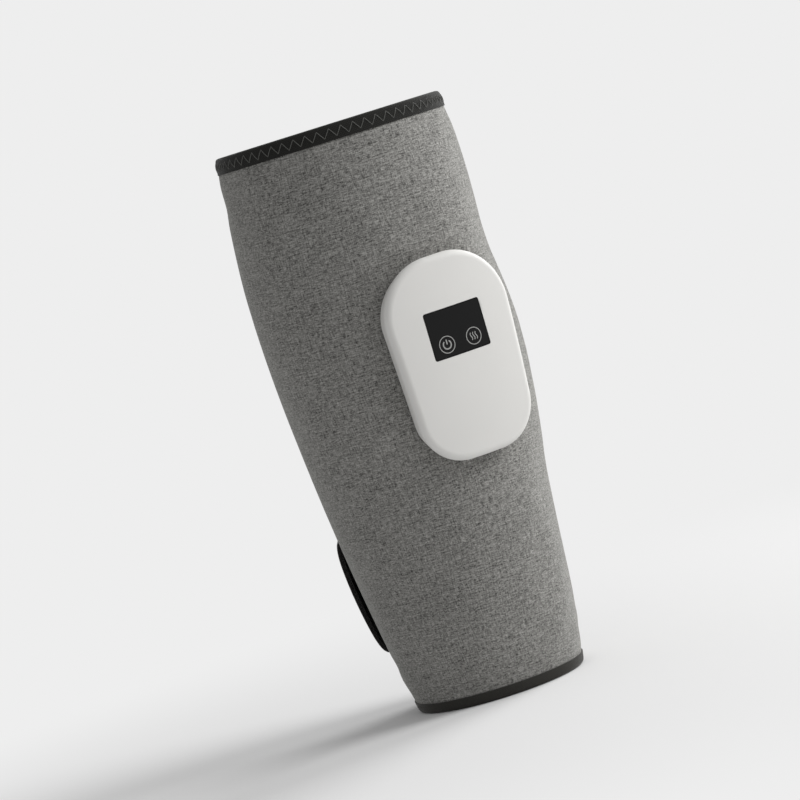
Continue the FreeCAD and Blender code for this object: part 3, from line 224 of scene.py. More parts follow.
class WrapSizes(bpy.types.PropertyGroup):
    """Sizes of the padded wrap and its tapes"""

    height: length("Height", "From the hem to the top edge", CAD_BOX[1].z / MM)
    hem_radius: length("Hem radius", "Outer radius at the hem", 48.0)
    shin_radius: length("Shin radius", "Outer radius a third of the way up", 62.3)
    calf_radius: length("Calf radius", "Outer radius two thirds of the way up", 70.2)
    top_radius: length("Top radius", "Outer radius at the top edge", 66.2)
    wall: length("Wall", "From the knit's face to the lining's face", 12.9)
    close_gap: length("Closing gap", "Half of the gap between the closing edges", 1.0)
    cover_sheet: length("Cover thickness", "Foam-backed knit", 2.4)
    lining_sheet: length("Lining thickness", "Velvet and its backing", 1.4)
    draw: length("Draw", "How far the tapes draw the knit in", 0.25)
    pod_draw: length("Pod draw", "How far the pod presses the knit in", 1.3)
    draw_reach: length("Draw reach", "How far from a tape or the pod the knit is still drawn in", 11.0)
    swell: length("Swell", "Most that the padding swells the knit", 0.9)
    top_draw: length("Top draw", "How far the soft top edge lies in", 0.5)
    neck: length("Neck", "How far the soft wrap draws in below its top tape", 1.1)
    hem_spread: length("Hem spread", "How far the soft hem spreads", 1.3)
    hem_gather: length("Hem gather", "How far the hem's tape gathers the edge", 1.2)
    sway: length("Sway", "How far the ends of the wrap lie to the right of its middle", 1.2)
    cheek: length("Cheek", "How far the air cells push out beside the pod", 2.4)
    hollow: length("Hollow", "How far the knit lies in above the cheek on the right", 1.6)
    tape_proud: length("Tape rise", "How far a tape stands over the wrap's face", 0.3)
    tape_sheet: length("Tape thickness", "Woven binding tape", 0.8)
    top_tape: length("Top tape", "Height of the tape on the top edge", 9.2)
    hem_tape: length("Hem tape", "Height of the tape on the hem", 6.2)
    edge_tape: length("Edge tape", "Width of the tape on a closing edge", 8.0)
    zigzag_pitch: length("Zigzag pitch", "From one top of the zigzag to the next", 6.9)
    zigzag_height: length("Zigzag height", "Height of the zigzag stitch", 4.9)
    thread: length("Thread radius", "Radius of the sewing thread", 0.26)


class StrapSizes(bpy.types.PropertyGroup):
    """Sizes of the two hook-and-loop straps"""

    width: length("Width", "Width of a strap", 70.0)
    root: length("Root", "Length that is sewn down", 16.0)
    free: length("Free length", "From the seam to the rounded end", 74.0)
    corner: length("Corner", "Radius of the end's corners", 15.0)
    spring: length("Spring", "How much rounder a strap lies than the wrap", 1.6)
    root_level: length("Root level", "Underside of the root over the wrap's face", 0.2)
    low: length("Underside", "Underside of the band over the wrap's face", 2.25)
    high: length("Face", "Face of the band over the wrap's face", 3.65)
    edge: length("Edge round", "Rounding of the woven edges", 0.7)
    hook_length: length("Hook length", "Length of the hook strip", 46.0)
    crown: length("Crown", "How far the band's middle bows over its edges", 2.2)
    edge_drop: length("Edge drop", "How far the band's edges lie under its level", 1.1)
    hook_inset: length("Hook inset", "From the strap's outline to the hook strip's", 5.0)
    hook_low: length("Hook tips", "Hook tips over the wrap's face", 1.2)
    hook_sheet: length("Hook sheet", "Moulded sheet that carries the hooks", 0.35)
    hook_pitch: length("Hook pitch", "From hook to hook, about twice the real pitch", 1.9)


class SignSizes(bpy.types.PropertyGroup):
    """Sizes of the printed signs and of the domed face that they lie on"""

    pod_height: length("Pod height", "Height of the pod's middle", 190.0)
    crown: length("Crown", "Middle of the pod's face over the wrap", 12.0)
    across: length("Crown across", "Radius of the pod's face across", 190.0)
    along: length("Crown along", "Radius of the pod's face along", 900.0)
    key_sunk: length("Key level", "Key face below the domed face", 0.03)
    ink: length("Ink", "Thickness of the printed ink", 0.05)
    ring: length("Ring radius", "Middle of the ring round a sign", 4.6)
    ring_line: length("Ring line", "Width of the ring's line", 0.46)
    power_radius: length("Power radius", "Middle of the power sign's arc", 2.35)
    power_line: length("Power line", "Width of the power sign's line", 0.72)
    heat_height: length("Heat height", "Height of the heat sign's waves", 4.3)
    heat_pitch: length("Heat pitch", "From wave to wave", 1.6)
    heat_swing: length("Heat swing", "Sideways swing of a wave", 0.42)
    heat_line: length("Heat line", "Width of a wave's line", 0.5)


class Finish(bpy.types.PropertyGroup):
    """Colours of the finishes"""

    knit_dark: paint("Knit dark", "Dark yarn of the heather knit", "#3A3937")
    knit_light: paint("Knit light", "Light yarn of the heather knit", "#ACABA7")
    tape: paint("Tape", "Binding tape of the top and closing edges", "#222220")
    # Painted light: the hem's tape is the same woven tape as on the top edge, coloured about twice as light
    # for the light that the hem catches.
    hem_tape: paint("Hem tape", "Narrow binding tape of the hem", "#33322F")
    thread: paint("Thread", "Zigzag thread", "#464643")
    velvet: paint("Velvet", "Lining", "#424241")
    webbing: paint("Webbing", "Straps", "#191817")
    shell: paint("Shell", "Pod", "#DAD9D6")
    window: paint("Window", "Display window and keys", "#0C0C0C")
    ink: paint("Ink", "Printed signs", "#9A9A98")
    floor: paint("Floor", "Floor near the object", "#EEEEEE")
    backdrop: paint("Backdrop", "Colour behind the object", "#EEEEEE")


class StageSettings(bpy.types.PropertyGroup):
    """Camera and lights"""

    azimuth: angle("Camera azimuth", "Turn of the camera to the left of the pod", 26.1)
    roll: angle("Camera roll", "Lean of the object to the left in the picture", 17.37)
    eye_height: length("Camera height", "Height of the camera", 325.0)
    distance: length("Camera distance", "From the camera to the wrap's axis", 2300.0)
    aim_height: length("Aim height", "Height that the camera looks at", 165.0)
    aim_right: length("Aim right", "Shift of the aim to the camera's right", -5.5)
    aim_up: length("Aim up", "Shift of the aim upwards", 6.05)
    lens: bpy.props.FloatProperty(name="Lens", description="Focal length in millimetres on a 36 mm frame",
                                  default=185.3, unit="CAMERA")
    ambient: bpy.props.FloatProperty(name="Ambient", description="Even light from all sides", default=0.42)
    key: bpy.props.FloatProperty(name="Key", description="Large soft lamp on the right", default=0.6)
    rim: bpy.props.FloatProperty(name="Rim", description="Soft lamp behind on the right", default=0.6)


def ease(share):
    """Smooth step: 3 s^2 - 2 s^3 of the share held between 0 and 1."""
    held = np.clip(share, 0, 1)
    return held * held * (3 - 2 * held)


def wrap_radius(sizes, height, depth=0.0):
    """The wrap's radius: the cubic through its four girths at even heights, less a depth under its face."""
    t = 3 * np.asarray(height) / sizes.height
    hem = -(t - 1) * (t - 2) * (t - 3) / 6
    shin = t * (t - 2) * (t - 3) / 2
    calf = -t * (t - 1) * (t - 3) / 2
    top = t * (t - 1) * (t - 2) / 6
    girth = sizes.hem_radius * hem + sizes.shin_radius * shin + sizes.calf_radius * calf
    return girth + sizes.top_radius * top - depth


def bell(place, middle, reach):
    """A bell: e to the power of minus the square of the distance from its middle over its reach."""
    away = (place - middle) / reach
    return np.exp(-away * away)


def near_hem(sizes, height, reach=HEM_REACH):
    """Nearness to the hem: a smooth step from 1 at the hem to 0 at a share of the wrap's height."""
    return ease(1 - np.asarray(height) / (reach * sizes.height))


def near_top(sizes, height):
    """Nearness to the top edge: a smooth step from 1 at the top to 0 a share of the height below it."""
    return ease(1 - (sizes.height - np.asarray(height)) / (TOP_REACH * sizes.height))


def soft_give(sizes, height):
    """How the soft wall leaves its girths: in at the top and its neck, out above the hem, in at the hem."""
    spread = sizes.hem_spread * near_hem(sizes, height)
    gather = sizes.hem_gather * near_hem(sizes, height, GATHER_REACH)
    neck = sizes.neck * bell(np.asarray(height), NECK_HEIGHT, NECK_REACH)
    return spread - gather - neck - sizes.top_draw * near_top(sizes, height)


def soft_sway(sizes, height):
    """How far the soft wrap's line lies to the right: nothing in its middle, all of the sway at both ends."""
    side = sizes.sway * (near_hem(sizes, height) + near_top(sizes, height))
    turn = math.radians(SWAY_BEARING)
    return side * math.cos(turn), side * math.sin(turn)


def around(sizes, bearing, height, depth=0.0):
    """Points round the soft wrap: its radius less a depth, with give and sway that fade through the wall."""
    hold = 1 - np.clip(np.asarray(depth) / sizes.wall, 0, 1)
    reach = wrap_radius(sizes, height, depth) + soft_give(sizes, height) * hold
    turn = np.radians(bearing)
    aside, ahead = soft_sway(sizes, height)
    x = reach * np.cos(turn) + aside * hold
    y = reach * np.sin(turn) + ahead * hold
    return np.stack(np.broadcast_arrays(x, y, height), -1)


def closing_bearings(sizes):
    """Bearings of the two closing edges, each half of the gap from the closing line opposite the pod."""
    gap = math.degrees(sizes.close_gap / sizes.calf_radius)
    return CLOSING_BEARING + gap, CLOSING_BEARING + 360 - gap


def fold_bearing():
    """Bearing of the flap's fold, between the pod and the full turn."""
    return bearing_of(JOINTS["flap_fold"]["pos_m"]) % 360


def split_bearing():
    """Bearing where the flap's pieces begin, a little before the fold."""
    return fold_bearing() - FOLD_LEAD


def panel_grid(sizes, tuck):
    """Bearings and heights of a layer of the wall: an even grid that ends a tuck inside the closing edges."""
    first, last = closing_bearings(sizes)
    short = math.degrees(tuck / sizes.hem_radius)
    start, end = first + short, last - short
    low, high = PANEL_BORDER, sizes.height - PANEL_BORDER
    columns = round(math.radians(end - start) * sizes.calf_radius / PANEL_STEP) + 1
    rows = round((high - low) / PANEL_STEP) + 1
    return np.meshgrid(np.linspace(start, end, columns), np.linspace(low, high, rows))


def fine_ends(size, round_size, step):
    """Places from 0 to a size: even steps between, and finer ones on a quarter round at each end."""
    rounding = round_size * (1 - np.cos(np.linspace(0, math.pi / 2, ROUND_POINTS)))
    middle = np.linspace(round_size, size - round_size, max(2, round(size / step)))
    return np.concatenate([rounding[:-1], middle, size - rounding[-2::-1]])


def grid_quads(index):
    """Faces of a grid of point numbers, each from a point, its right, upper right and upper neighbours."""
    corners = [index[:-1, :-1], index[:-1, 1:], index[1:, 1:], index[1:, :-1]]
    return np.stack(corners, -1).reshape(-1, 4)


def closed_shell(outer, inner):
    """A wall between two grids: outer faces, inner faces turned over, and a rim round all four borders."""
    count = outer.shape[0] * outer.shape[1]
    index = np.arange(count).reshape(outer.shape[:2])
    loop = np.concatenate([index[0, :-1], index[:-1, -1], index[-1, :0:-1], index[:0:-1, 0]])
    ahead = np.roll(loop, -1)
    rim = np.stack([ahead, loop, loop + count, ahead + count], -1)
    faces = [grid_quads(index), grid_quads(index + count)[:, ::-1], rim]
    return np.concatenate([outer.reshape(-1, 3), inner.reshape(-1, 3)]), faces


def swept(sections, ring=False):
    """A closed profile carried along a path: faces between neighbouring sections, and a cap at each end."""
    stations, corners = sections.shape[:2]
    index = np.arange(stations * corners).reshape(stations, corners)
    near = index if ring else index[:-1]
    far = np.roll(index, -1, 0) if ring else index[1:]
    sides = np.stack([near, np.roll(near, -1, 1), np.roll(far, -1, 1), far], -1).reshape(-1, 4)
    caps = [] if ring else [index[:1, ::-1], index[-1:]]
    return sections.reshape(-1, 3), [sides, *caps]


def threads(paths, outward, radius, sides=6):
    """Round tubes on many paths: at each point a circle square to the path, with a cap at each end."""
    count, stations = paths.shape[:2]
    ahead = np.gradient(paths, axis=1)
    ahead /= np.linalg.norm(ahead, axis=-1, keepdims=True)
    across = np.cross(ahead, outward)
    across /= np.linalg.norm(across, axis=-1, keepdims=True)
    lift = np.cross(across, ahead)
    turn = np.linspace(0, 2 * math.pi, sides, endpoint=False)[:, None]
    circle = np.cos(turn) * lift[:, :, None] + np.sin(turn) * across[:, :, None]
    points = paths[:, :, None] + radius * circle
    index = np.arange(count * stations * sides).reshape(count, stations, sides)
    near, far = index[:, :-1], index[:, 1:]
    walls = np.stack([near, np.roll(near, -1, 2), np.roll(far, -1, 2), far], -1).reshape(-1, 4)
    return points.reshape(-1, 3), [walls, index[:, 0, ::-1], index[:, -1]]


def signed_volume(points, faces):
    """Six times the volume inside: for each face's fan of triangles, the triple product of its corners."""
    total = 0.0
    for group in faces:
        first = points[group[:, 0]]
        for corner in range(1, group.shape[1] - 1):
            second, third = points[group[:, corner]], points[group[:, corner + 1]]
            total += np.einsum("ij,ij->", first, np.cross(second, third))
    return total


def make_piece(name, points, faces, material, uv=None, crease=40):
    """A closed mesh object at the origin, its faces turned outwards, smooth but for its creases."""
    if signed_volume(points, faces) < 0:
        faces = [group[:, ::-1] for group in faces]
    mesh = bpy.data.meshes.new(name)
    mesh.from_pydata(points.tolist(), [], [face for group in faces for face in group.tolist()])
    if uv is not None:
        corners = np.empty(len(mesh.loops), np.int32)
        mesh.loops.foreach_get("vertex_index", corners)
        layer = mesh.uv_layers.new(name="cloth")
        layer.data.foreach_set("uv", uv.reshape(-1, 2)[corners].astype(np.float32).ravel())
    mesh.materials.append(material)
    mesh.shade_smooth()
    mesh.set_sharp_from_angle(angle=math.radians(crease))
    piece = bpy.data.objects.new(name, mesh)
    bpy.context.scene.collection.objects.link(piece)
    return piece


def bend_at_fold(piece):
    """Bakes the piece's place into its mesh and sets it at the origin."""
    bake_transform(piece)


def pod_axes(sizes, signs):
    """The pod's middle on the wrap's face, its up and its outward direction, from the way the keys press."""
    outward = -np.array(JOINTS["power_key_press"]["axis"])
    up = np.array([0, outward[2], -outward[1]])
    middle = np.array([0, -float(wrap_radius(sizes, signs.pod_height)), signs.pod_height])
    return middle, up, outward


def pod_clearance(sizes, signs, points):
    """Distance outside the pod's rim, in its own plane: a rounded box whose half width grows upwards."""
    middle, up, _ = pod_axes(sizes, signs)
    corner, half_length, half_width, taper = 25 * MM, 54.4 * MM, 32.6 * MM, 0.0556
    far_off = 1.0
    y = (points - middle) @ up
    beside = np.abs(points[..., 0]) - (half_width + taper * y - corner)
    beyond = np.abs(y) - (half_length - corner)
    outside = np.hypot(np.maximum(beside, 0), np.maximum(beyond, 0))
    clear = outside + np.minimum(np.maximum(beside, beyond), 0) - corner
    return np.where(points[..., 1] < 0, clear, far_off)


def tape_clearance(sizes, bearing, height):
    """Distance of a point of the wrap from the nearest tape: top, hem or a closing edge."""
    first, last = closing_bearings(sizes)
    sideways = np.radians(np.minimum(bearing - first, last - bearing)) * wrap_radius(sizes, height)
    lengthways = np.minimum(sizes.height - sizes.top_tape - height, height - sizes.hem_tape)
    return np.minimum(lengthways, sideways - sizes.edge_tape)


def ripple(bearing, height):
    """Slow unevenness of padding: two crossed sines, one bent by the other, between -1 and 1."""
    long_wave, short_wave = 31 * MM, 23 * MM
    wide_lobes, narrow_lobes = 5, 9
    wide, narrow, lean, bend = 0.6, 0.4, 1.7, 1.3
    turn = np.radians(bearing)
    drift = np.sin(height / long_wave + lean * np.sin(2 * turn))
    slow = wide * np.sin(wide_lobes * turn + bend * drift) * drift
    return slow + narrow * np.sin(narrow_lobes * turn - height / short_wave)


def beside_pod(signs, bearing, height):
    """Fullness of the air cells on both sides of the pod: a bell over bearing and height, shorter upwards."""
    middle = signs.pod_height - CHEEK_DROP
    along = np.where(height > middle, CHEEK_ABOVE, CHEEK_BELOW)
    return bell(np.abs(bearing - POD_BEARING), CHEEK_BEARING, CHEEK_SPREAD) * bell(height, middle, along)


def above_cheek(bearing, height):
    """Slackness above the cheek on the pod's right: a bell over bearing and height, 1 at its middle."""
    sideways = bell(bearing, POD_BEARING + CHEEK_BEARING, CHEEK_SPREAD)
    return sideways * bell(height, HOLLOW_HEIGHT, HOLLOW_REACH)


def relax(field, rounds):
    """Evens out a grid of moves: each point inside takes the mean of itself and its four neighbours."""
    for _ in range(rounds):
        inside = field[1:-1, 1:-1] + field[:-2, 1:-1] + field[2:, 1:-1] + field[1:-1, :-2] + field[1:-1, 2:]
        field = field.copy()
        field[1:-1, 1:-1] = inside / 5
    return field


def swelled(name, grid, held, most):
    """Cloth blown out between its held points; a move m is kept as most * tanh(m / most), then evened out."""
    scene = bpy.context.scene
    mesh = bpy.data.meshes.new(name)
    index = np.arange(held.size).reshape(held.shape)
    mesh.from_pydata(grid.reshape(-1, 3).tolist(), [], grid_quads(index).tolist())
    cloth_object = bpy.data.objects.new(name, mesh)
    scene.collection.objects.link(cloth_object)
    group = cloth_object.vertex_groups.new(name="held")
    group.add(np.flatnonzero(held).tolist(), 1.0, "REPLACE")
    cloth = cloth_object.modifiers.new(name, "CLOTH")
    cloth.point_cache.frame_end = CLOTH_FRAMES
    settings = cloth.settings
    settings.vertex_group_mass = group.name
    settings.quality = CLOTH_QUALITY
    settings.use_pressure = True
    settings.uniform_pressure_force = CLOTH_PRESSURE
    settings.shrink_min = CLOTH_SHRINK
    settings.effector_weights.gravity = 0
    for number in range(1, CLOTH_FRAMES + 1):
        scene.frame_set(number)
    evaluated = cloth_object.evaluated_get(bpy.context.evaluated_depsgraph_get())
    blown = np.empty(grid.size, np.float32)
    evaluated.data.vertices.foreach_get("co", blown)
    scene.frame_set(1)
    bpy.data.objects.remove(cloth_object)
    bpy.data.meshes.remove(mesh)
    move = blown.reshape(grid.shape) - grid
    far = np.linalg.norm(move, axis=-1, keepdims=True)
    kept = move * most * np.tanh(far / most) / np.maximum(far, NEAR_ZERO)
    return grid + relax(kept, EVEN_ROUNDS)


def cloth_uv(sizes, bearing, height):
    """Cloth coordinates in metres: length round the calf girth, and height."""
    return np.stack([np.radians(bearing) * sizes.calf_radius, height], -1)


def both_sides(uv):
    """Cloth coordinates of a shell: those of its outer grid, and the same again for its inner grid."""
    return np.tile(uv.reshape(-1, 2), (2, 1))


def finer_start(grid):
    """More columns where a panel folds: its first spaces are cut into even parts, with straight steps."""
    fine = np.arange(0, FOLD_COLUMNS, 1 / FOLD_PARTS)
    place = np.concatenate([fine, np.arange(FOLD_COLUMNS, grid.shape[1])])
    left = np.minimum(place.astype(int), grid.shape[1] - 2)
    share = (place - left)[None, :, None]
    return grid[:, left] * (1 - share) + grid[:, left + 1] * share


def carry(piece, body):
    """Rides a piece on its body; one with no body has its place baked into its mesh."""
    if body:
        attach(piece, body)
    else:
        bend_at_fold(piece)


def wall_panels(sizes, bearing, height, layer, material, pieces):
    """A layer of the wall in two panels: one that stays, and one from the split on, finer at its fold."""
    grids = (*layer, cloth_uv(sizes, bearing, height))
    split = int(np.argmin(np.abs(bearing[0] - split_bearing())))
    kept = [grid[:, :split + 1] for grid in grids]
    folding = [finer_start(grid[:, split:]) for grid in grids]
    for (name, node, body), (outer, inner, uv) in zip(pieces, (kept, folding)):
        piece = make_piece(name, *closed_shell(outer, inner), material, both_sides(uv))
        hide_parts(node)
        carry(piece, body)


def arch(half, rise):
    """Half of a superellipse of power p: across is -half cos, up is rise sin, both to the power 2/p."""
    turn = np.linspace(0, math.pi, TAPE_POINTS)
    across = -half * np.sign(np.cos(turn)) * np.abs(np.cos(turn)) ** (2 / TAPE_POWER)
    return across, rise * np.abs(np.sin(turn)) ** (2 / TAPE_POWER)


def tape_profile(sizes, rise):
    """Folded tape: an arch over the wall's edge and back along a smaller arch, as depths, rises and girth."""
    half = sizes.wall / 2 + sizes.tape_proud
    over, up = arch(half, rise)
    under, low = arch(half - sizes.tape_sheet, rise - sizes.tape_sheet)
    girth = np.concatenate([[0], np.cumsum(np.hypot(np.diff(over), np.diff(up)))])
    depth = sizes.wall / 2 + np.concatenate([over, under[::-1]])
    return depth, np.concatenate([up, low[::-1]]), np.concatenate([girth, girth[::-1]])


def rim_tape(sizes, start, end, rise, at_top):
    """A tape round the top edge or hem: the folded profile carried round the wrap, filled at both ends."""
    depth, up, girth = tape_profile(sizes, rise)
    fill = math.degrees(sizes.tape_sheet / sizes.calf_radius)
    lead = FILL_LEAD * fill
    middle = np.linspace(start + lead, end - lead, round((end - start) / TAPE_STEP))
    bearing = np.concatenate([[start, start + fill], middle, [end - fill, end]])[:, None]
    inner = np.arange(len(up)) >= len(up) // 2
    shut = (bearing < middle[0]) | (bearing > middle[-1])
    lift = np.where(inner[None] & shut, FILL_RISE * up[None], up[None])
    height = sizes.height - rise + lift if at_top else rise - lift
    along = np.radians(bearing) * sizes.calf_radius
    uv = np.stack(np.broadcast_arrays(along, girth[None]), -1)
    return around(sizes, bearing, height, depth[None]), uv


def edge_tape(sizes, edge, side):
    """A tape up a closing edge: the folded profile carried up the wrap, its crown on the edge's bearing."""
    depth, up, girth = tape_profile(sizes, sizes.edge_tape)
    low, high = sizes.hem_tape - TAPE_LAP, sizes.height - sizes.top_tape + TAPE_LAP
    height = np.linspace(low, high, EDGE_SECTIONS)[:, None]
    inset = np.degrees((sizes.edge_tape - up[None]) / wrap_radius(sizes, height))
    uv = np.stack(np.broadcast_arrays(height, girth[None]), -1)
    return around(sizes, edge + side * inset, height, depth[None]), uv


def zigzag_paths(sizes, start, end):
    """Zigzag stitches on the top tape: each leg rises or falls by the height over half a pitch, arched."""
    step = math.degrees(sizes.zigzag_pitch / 2 / sizes.top_radius)
    leg = np.arange(int((end - start) / step))[:, None]
    share = np.linspace(0, 1, ZIGZAG_POINTS)[None]
    upward = np.where(leg % 2 == 0, share, 1 - share)
    rise = sizes.top_tape / 2 - ZIGZAG_DROP + sizes.zigzag_height * (upward - 0.5)
    half = sizes.wall / 2 + sizes.tape_proud
    face = half * (1 - (rise / sizes.top_tape) ** TAPE_POWER) ** (1 / TAPE_POWER)
    proud = sizes.thread * (ZIGZAG_ARCH * np.sin(math.pi * share) - ZIGZAG_SINK)
    height = sizes.height - sizes.top_tape + rise
    return around(sizes, start + (leg + share) * step, height, sizes.wall / 2 - face - proud)


def on_strap(sizes, strap, joint, along, across, level):
    """Points of a strap: an arc from the seam, rounder than the wrap by the spring, bowed over its level."""
    seam = math.radians(bearing_of(joint["pos_m"]))
    middle = joint["pos_m"][2]
    turn = seam + along / (float(wrap_radius(sizes, middle)) + strap.spring)
    height = middle + across
    bow = strap.crown * (1 - (2 * across / strap.width) ** 2) - strap.edge_drop
    level = level + STRAP_BOW[joint["name"]] * bow * ease(along / BOW_REACH)
    reach = wrap_radius(sizes, height) + soft_give(sizes, height) + strap.spring + level
    aside, ahead = soft_sway(sizes, height)
    x = reach * np.cos(turn) - strap.spring * math.cos(seam) + aside
    y = reach * np.sin(turn) - strap.spring * math.sin(seam) + ahead
    return np.stack(np.broadcast_arrays(x, y, height), -1)


def rounded_reach(across, half, corner):
    """How far a rounded end falls short at each place across: a quarter circle inside each corner."""
    inside = np.clip((np.abs(across) - (half - corner)) / corner, 0, 1)
    return corner * (1 - np.sqrt(1 - inside * inside))


def strap_band(sizes, strap, joint):
    """A strap from its sewn root to its rounded end: two levels that close up on a round at every edge."""
    half = strap.width / 2
    across = fine_ends(strap.width, strap.edge, BAND_ACROSS)[:, None] - half
    share = fine_ends(strap.root + strap.free, strap.edge, BAND_ALONG)[None] / (strap.root + strap.free)
    reach = strap.free - rounded_reach(across, half * CORNER_SHARE, strap.corner)
    along = -strap.root + share * (reach + strap.root)
    from_edge = np.minimum(half - np.abs(across), np.minimum(along + strap.root, reach - along))
    full = 1 - np.clip(from_edge / strap.edge, 0, 1)
    thick = EDGE_THICKNESS + (1 - EDGE_THICKNESS) * np.sqrt(1 - full * full)
    low = strap.root_level + (strap.low - strap.root_level) * ease((along + SEAM_LEAD) / SEAM_REACH)
    middle, spread = (strap.high + low) / 2, (strap.high - low) / 2 * thick
    outer = on_strap(sizes, strap, joint, along, across, middle + spread)
    inner = on_strap(sizes, strap, joint, along, across, middle - spread)
    uv = np.stack(np.broadcast_arrays(along, across), -1)
    return outer, inner, uv


def box_stitch(sizes, strap, joint):
    """Stitches of a sewn box with a cross: each line is cut into even stitches that arch over the face."""
    left, right, side = -strap.root + BOX_INSET, -BOX_INSET, strap.width / 2 - BOX_MARGIN
    corners = np.array([[left, -side], [right, -side], [right, side], [left, side]])
    lines = np.stack([corners[[0, 1, 2, 3, 0, 1]], corners[[1, 2, 3, 0, 2, 3]]], 1)
    counts = np.round(np.linalg.norm(lines[:, 1] - lines[:, 0], axis=1) / BOX_STITCH).astype(int)
    line = np.repeat(np.arange(len(lines)), counts)
    number = np.arange(counts.sum()) - np.repeat(np.cumsum(counts) - counts, counts)
    within = np.linspace(BOX_GAP, 1 - BOX_GAP, BOX_POINTS)[None]
    share = (number[:, None] + within) / counts[line][:, None]
    place = lines[line, :1] + (lines[line, 1:] - lines[line, :1]) * share[..., None]
    arched = np.sin(np.linspace(0, math.pi, BOX_POINTS))[None]
    level = strap.high + sizes.thread * (BOX_ARCH * arched - BOX_SINK)
    return on_strap(sizes, strap, joint, place[..., 0], place[..., 1], level)


def hook_strip(sizes, strap, joint):
    """Hook strip under a strap: a thin sheet with its outer corners rounded, under the band's underside."""
    half = strap.width / 2 - strap.hook_inset
    end = strap.free - strap.hook_inset
    start = end - strap.hook_length
    across = np.linspace(-half, half, HOOK_ROWS)[:, None]
    reach = end - rounded_reach(across, half * CORNER_SHARE, strap.corner - strap.hook_inset)
    along = start + np.linspace(0, 1, HOOK_COLUMNS)[None] * (reach - start)
    top = strap.low - HOOK_GAP
    outer = on_strap(sizes, strap, joint, along, across, top)
    inner = on_strap(sizes, strap, joint, along, across, top - strap.hook_sheet)
    return outer, inner


def hook_paths(sizes, strap, joint):
    """Moulded hooks: each stands off the sheet towards the wrap and bends over along the strap."""
    half = strap.width / 2 - strap.hook_inset - HOOK_BORDER
    end = strap.free - strap.hook_inset
    along = np.arange(end - strap.hook_length + HOOK_BORDER, end - HOOK_BORDER, strap.hook_pitch)
    across = np.arange(-half, half, strap.hook_pitch)
    along, across = (side.ravel()[:, None] for side in np.meshgrid(along, across))
    short = rounded_reach(across, half, strap.corner - strap.hook_inset)
    kept = (along < end - HOOK_MARGIN - short)[:, 0]
    root = strap.low - HOOK_GAP - strap.hook_sheet
    drop = root - strap.hook_low - HOOK_RADIUS
    share = np.linspace(0, 1, HOOK_POINTS)[None]
    sideways = HOOK_BEND * (1 - np.cos(math.pi / 2 * share))
    level = root - drop * np.sin(HOOK_TURN * share)
    return on_strap(sizes, strap, joint, along[kept] + sideways, across[kept], level)


def on_dome(sizes, signs, x, y, level):
    """Points on the pod's domed face, in its own axes: an arc across carried along a longer arc."""
    middle, up, outward = pod_axes(sizes, signs)
    axis = signs.crown - signs.across
    ridge = signs.crown - signs.along + np.sqrt(signs.along ** 2 - y * y) - axis
    lift = axis + np.sqrt(ridge * ridge - x * x) - signs.key_sunk + level
    return middle + x[..., None] * [1, 0, 0] + y[..., None] * up + lift[..., None] * outward


def ribbon(sizes, signs, centre, path, line, ring=False):
    """A printed line: a flat strip of the line's width along a path, round at its ends, on the domed face."""
    ahead = np.gradient(path, axis=0)
    if ring:
        ahead = np.roll(path, -1, 0) - np.roll(path, 1, 0)
    ahead /= np.linalg.norm(ahead, axis=1, keepdims=True)
    side = np.stack([-ahead[:, 1], ahead[:, 0]], 1)
    run = np.concatenate([[0], np.cumsum(np.linalg.norm(np.diff(path, axis=0), axis=1))])
    from_end = np.full(len(path), line) if ring else np.minimum(run, run[-1] - run)
    short = 1 - np.clip(2 * from_end / line, 0, 1)
    half = (line / 2 * np.sqrt(np.maximum(1 - short * short, BLUNT_END)))[:, None]
    left, right = centre + path + side * half, centre + path - side * half
    edges = np.stack([left, right, right, left], 1)
    level = np.array([1, 1, -1, -1]) * signs.ink
    return swept(on_dome(sizes, signs, edges[..., 0], edges[..., 1], level[None]), ring)


def joined(parts):
    """Several meshes as one: their points in a row, and the faces of each numbered on from the last."""
    points, faces, start = [], [], 0
    for part_points, part_faces in parts:
        points.append(part_points)
        faces += [group + start for group in part_faces]
        start += len(part_points)
    return np.concatenate(points), faces


def key_centre(sizes, signs, key):
    """Middle of a key in the pod's own axes, from its packed box."""
    low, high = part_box(key)
    middle, up, _ = pod_axes(sizes, signs)
    place = np.array((low + high) / 2)
    return np.array([place[0], (place - middle) @ up])


def circle_path(radius, first, last, count):
    """Points of an arc of the radius from the first to the last angle in degrees."""
    turn = np.radians(np.linspace(first, last, count))
    return radius * np.stack([np.cos(turn), np.sin(turn)], 1)


def add_node(tree, kind, inputs=None, out=0, **settings):
    """Adds a node with its settings, links or sets its inputs, and gives one output, or all for None."""
    node = tree.nodes.new("ShaderNode" + kind)
    for name, value in settings.items():
        setattr(node, name, value)
    for name, value in (inputs or {}).items():
        if isinstance(value, bpy.types.NodeSocket):
            tree.links.new(value, node.inputs[name])
        else:
            node.inputs[name].default_value = value
    return node.outputs if out is None else node.outputs[out]


def start_material(name):
    """A new material with an empty node tree, and the node function of that tree."""
    material = bpy.data.materials.new(name)
    material.use_nodes = True
    material.node_tree.nodes.clear()
    return material, partial(add_node, material.node_tree)


def shade(node, inputs):
    """The surface shader and the output."""
    node("OutputMaterial", {"Surface": node("BsdfPrincipled", inputs)}, out=None)


def rgba(colour, level=1.0):
    """A colour with its alpha, at a share of its brightness."""
    return (*(min(1.0, channel * level) for channel in colour), 1.0)


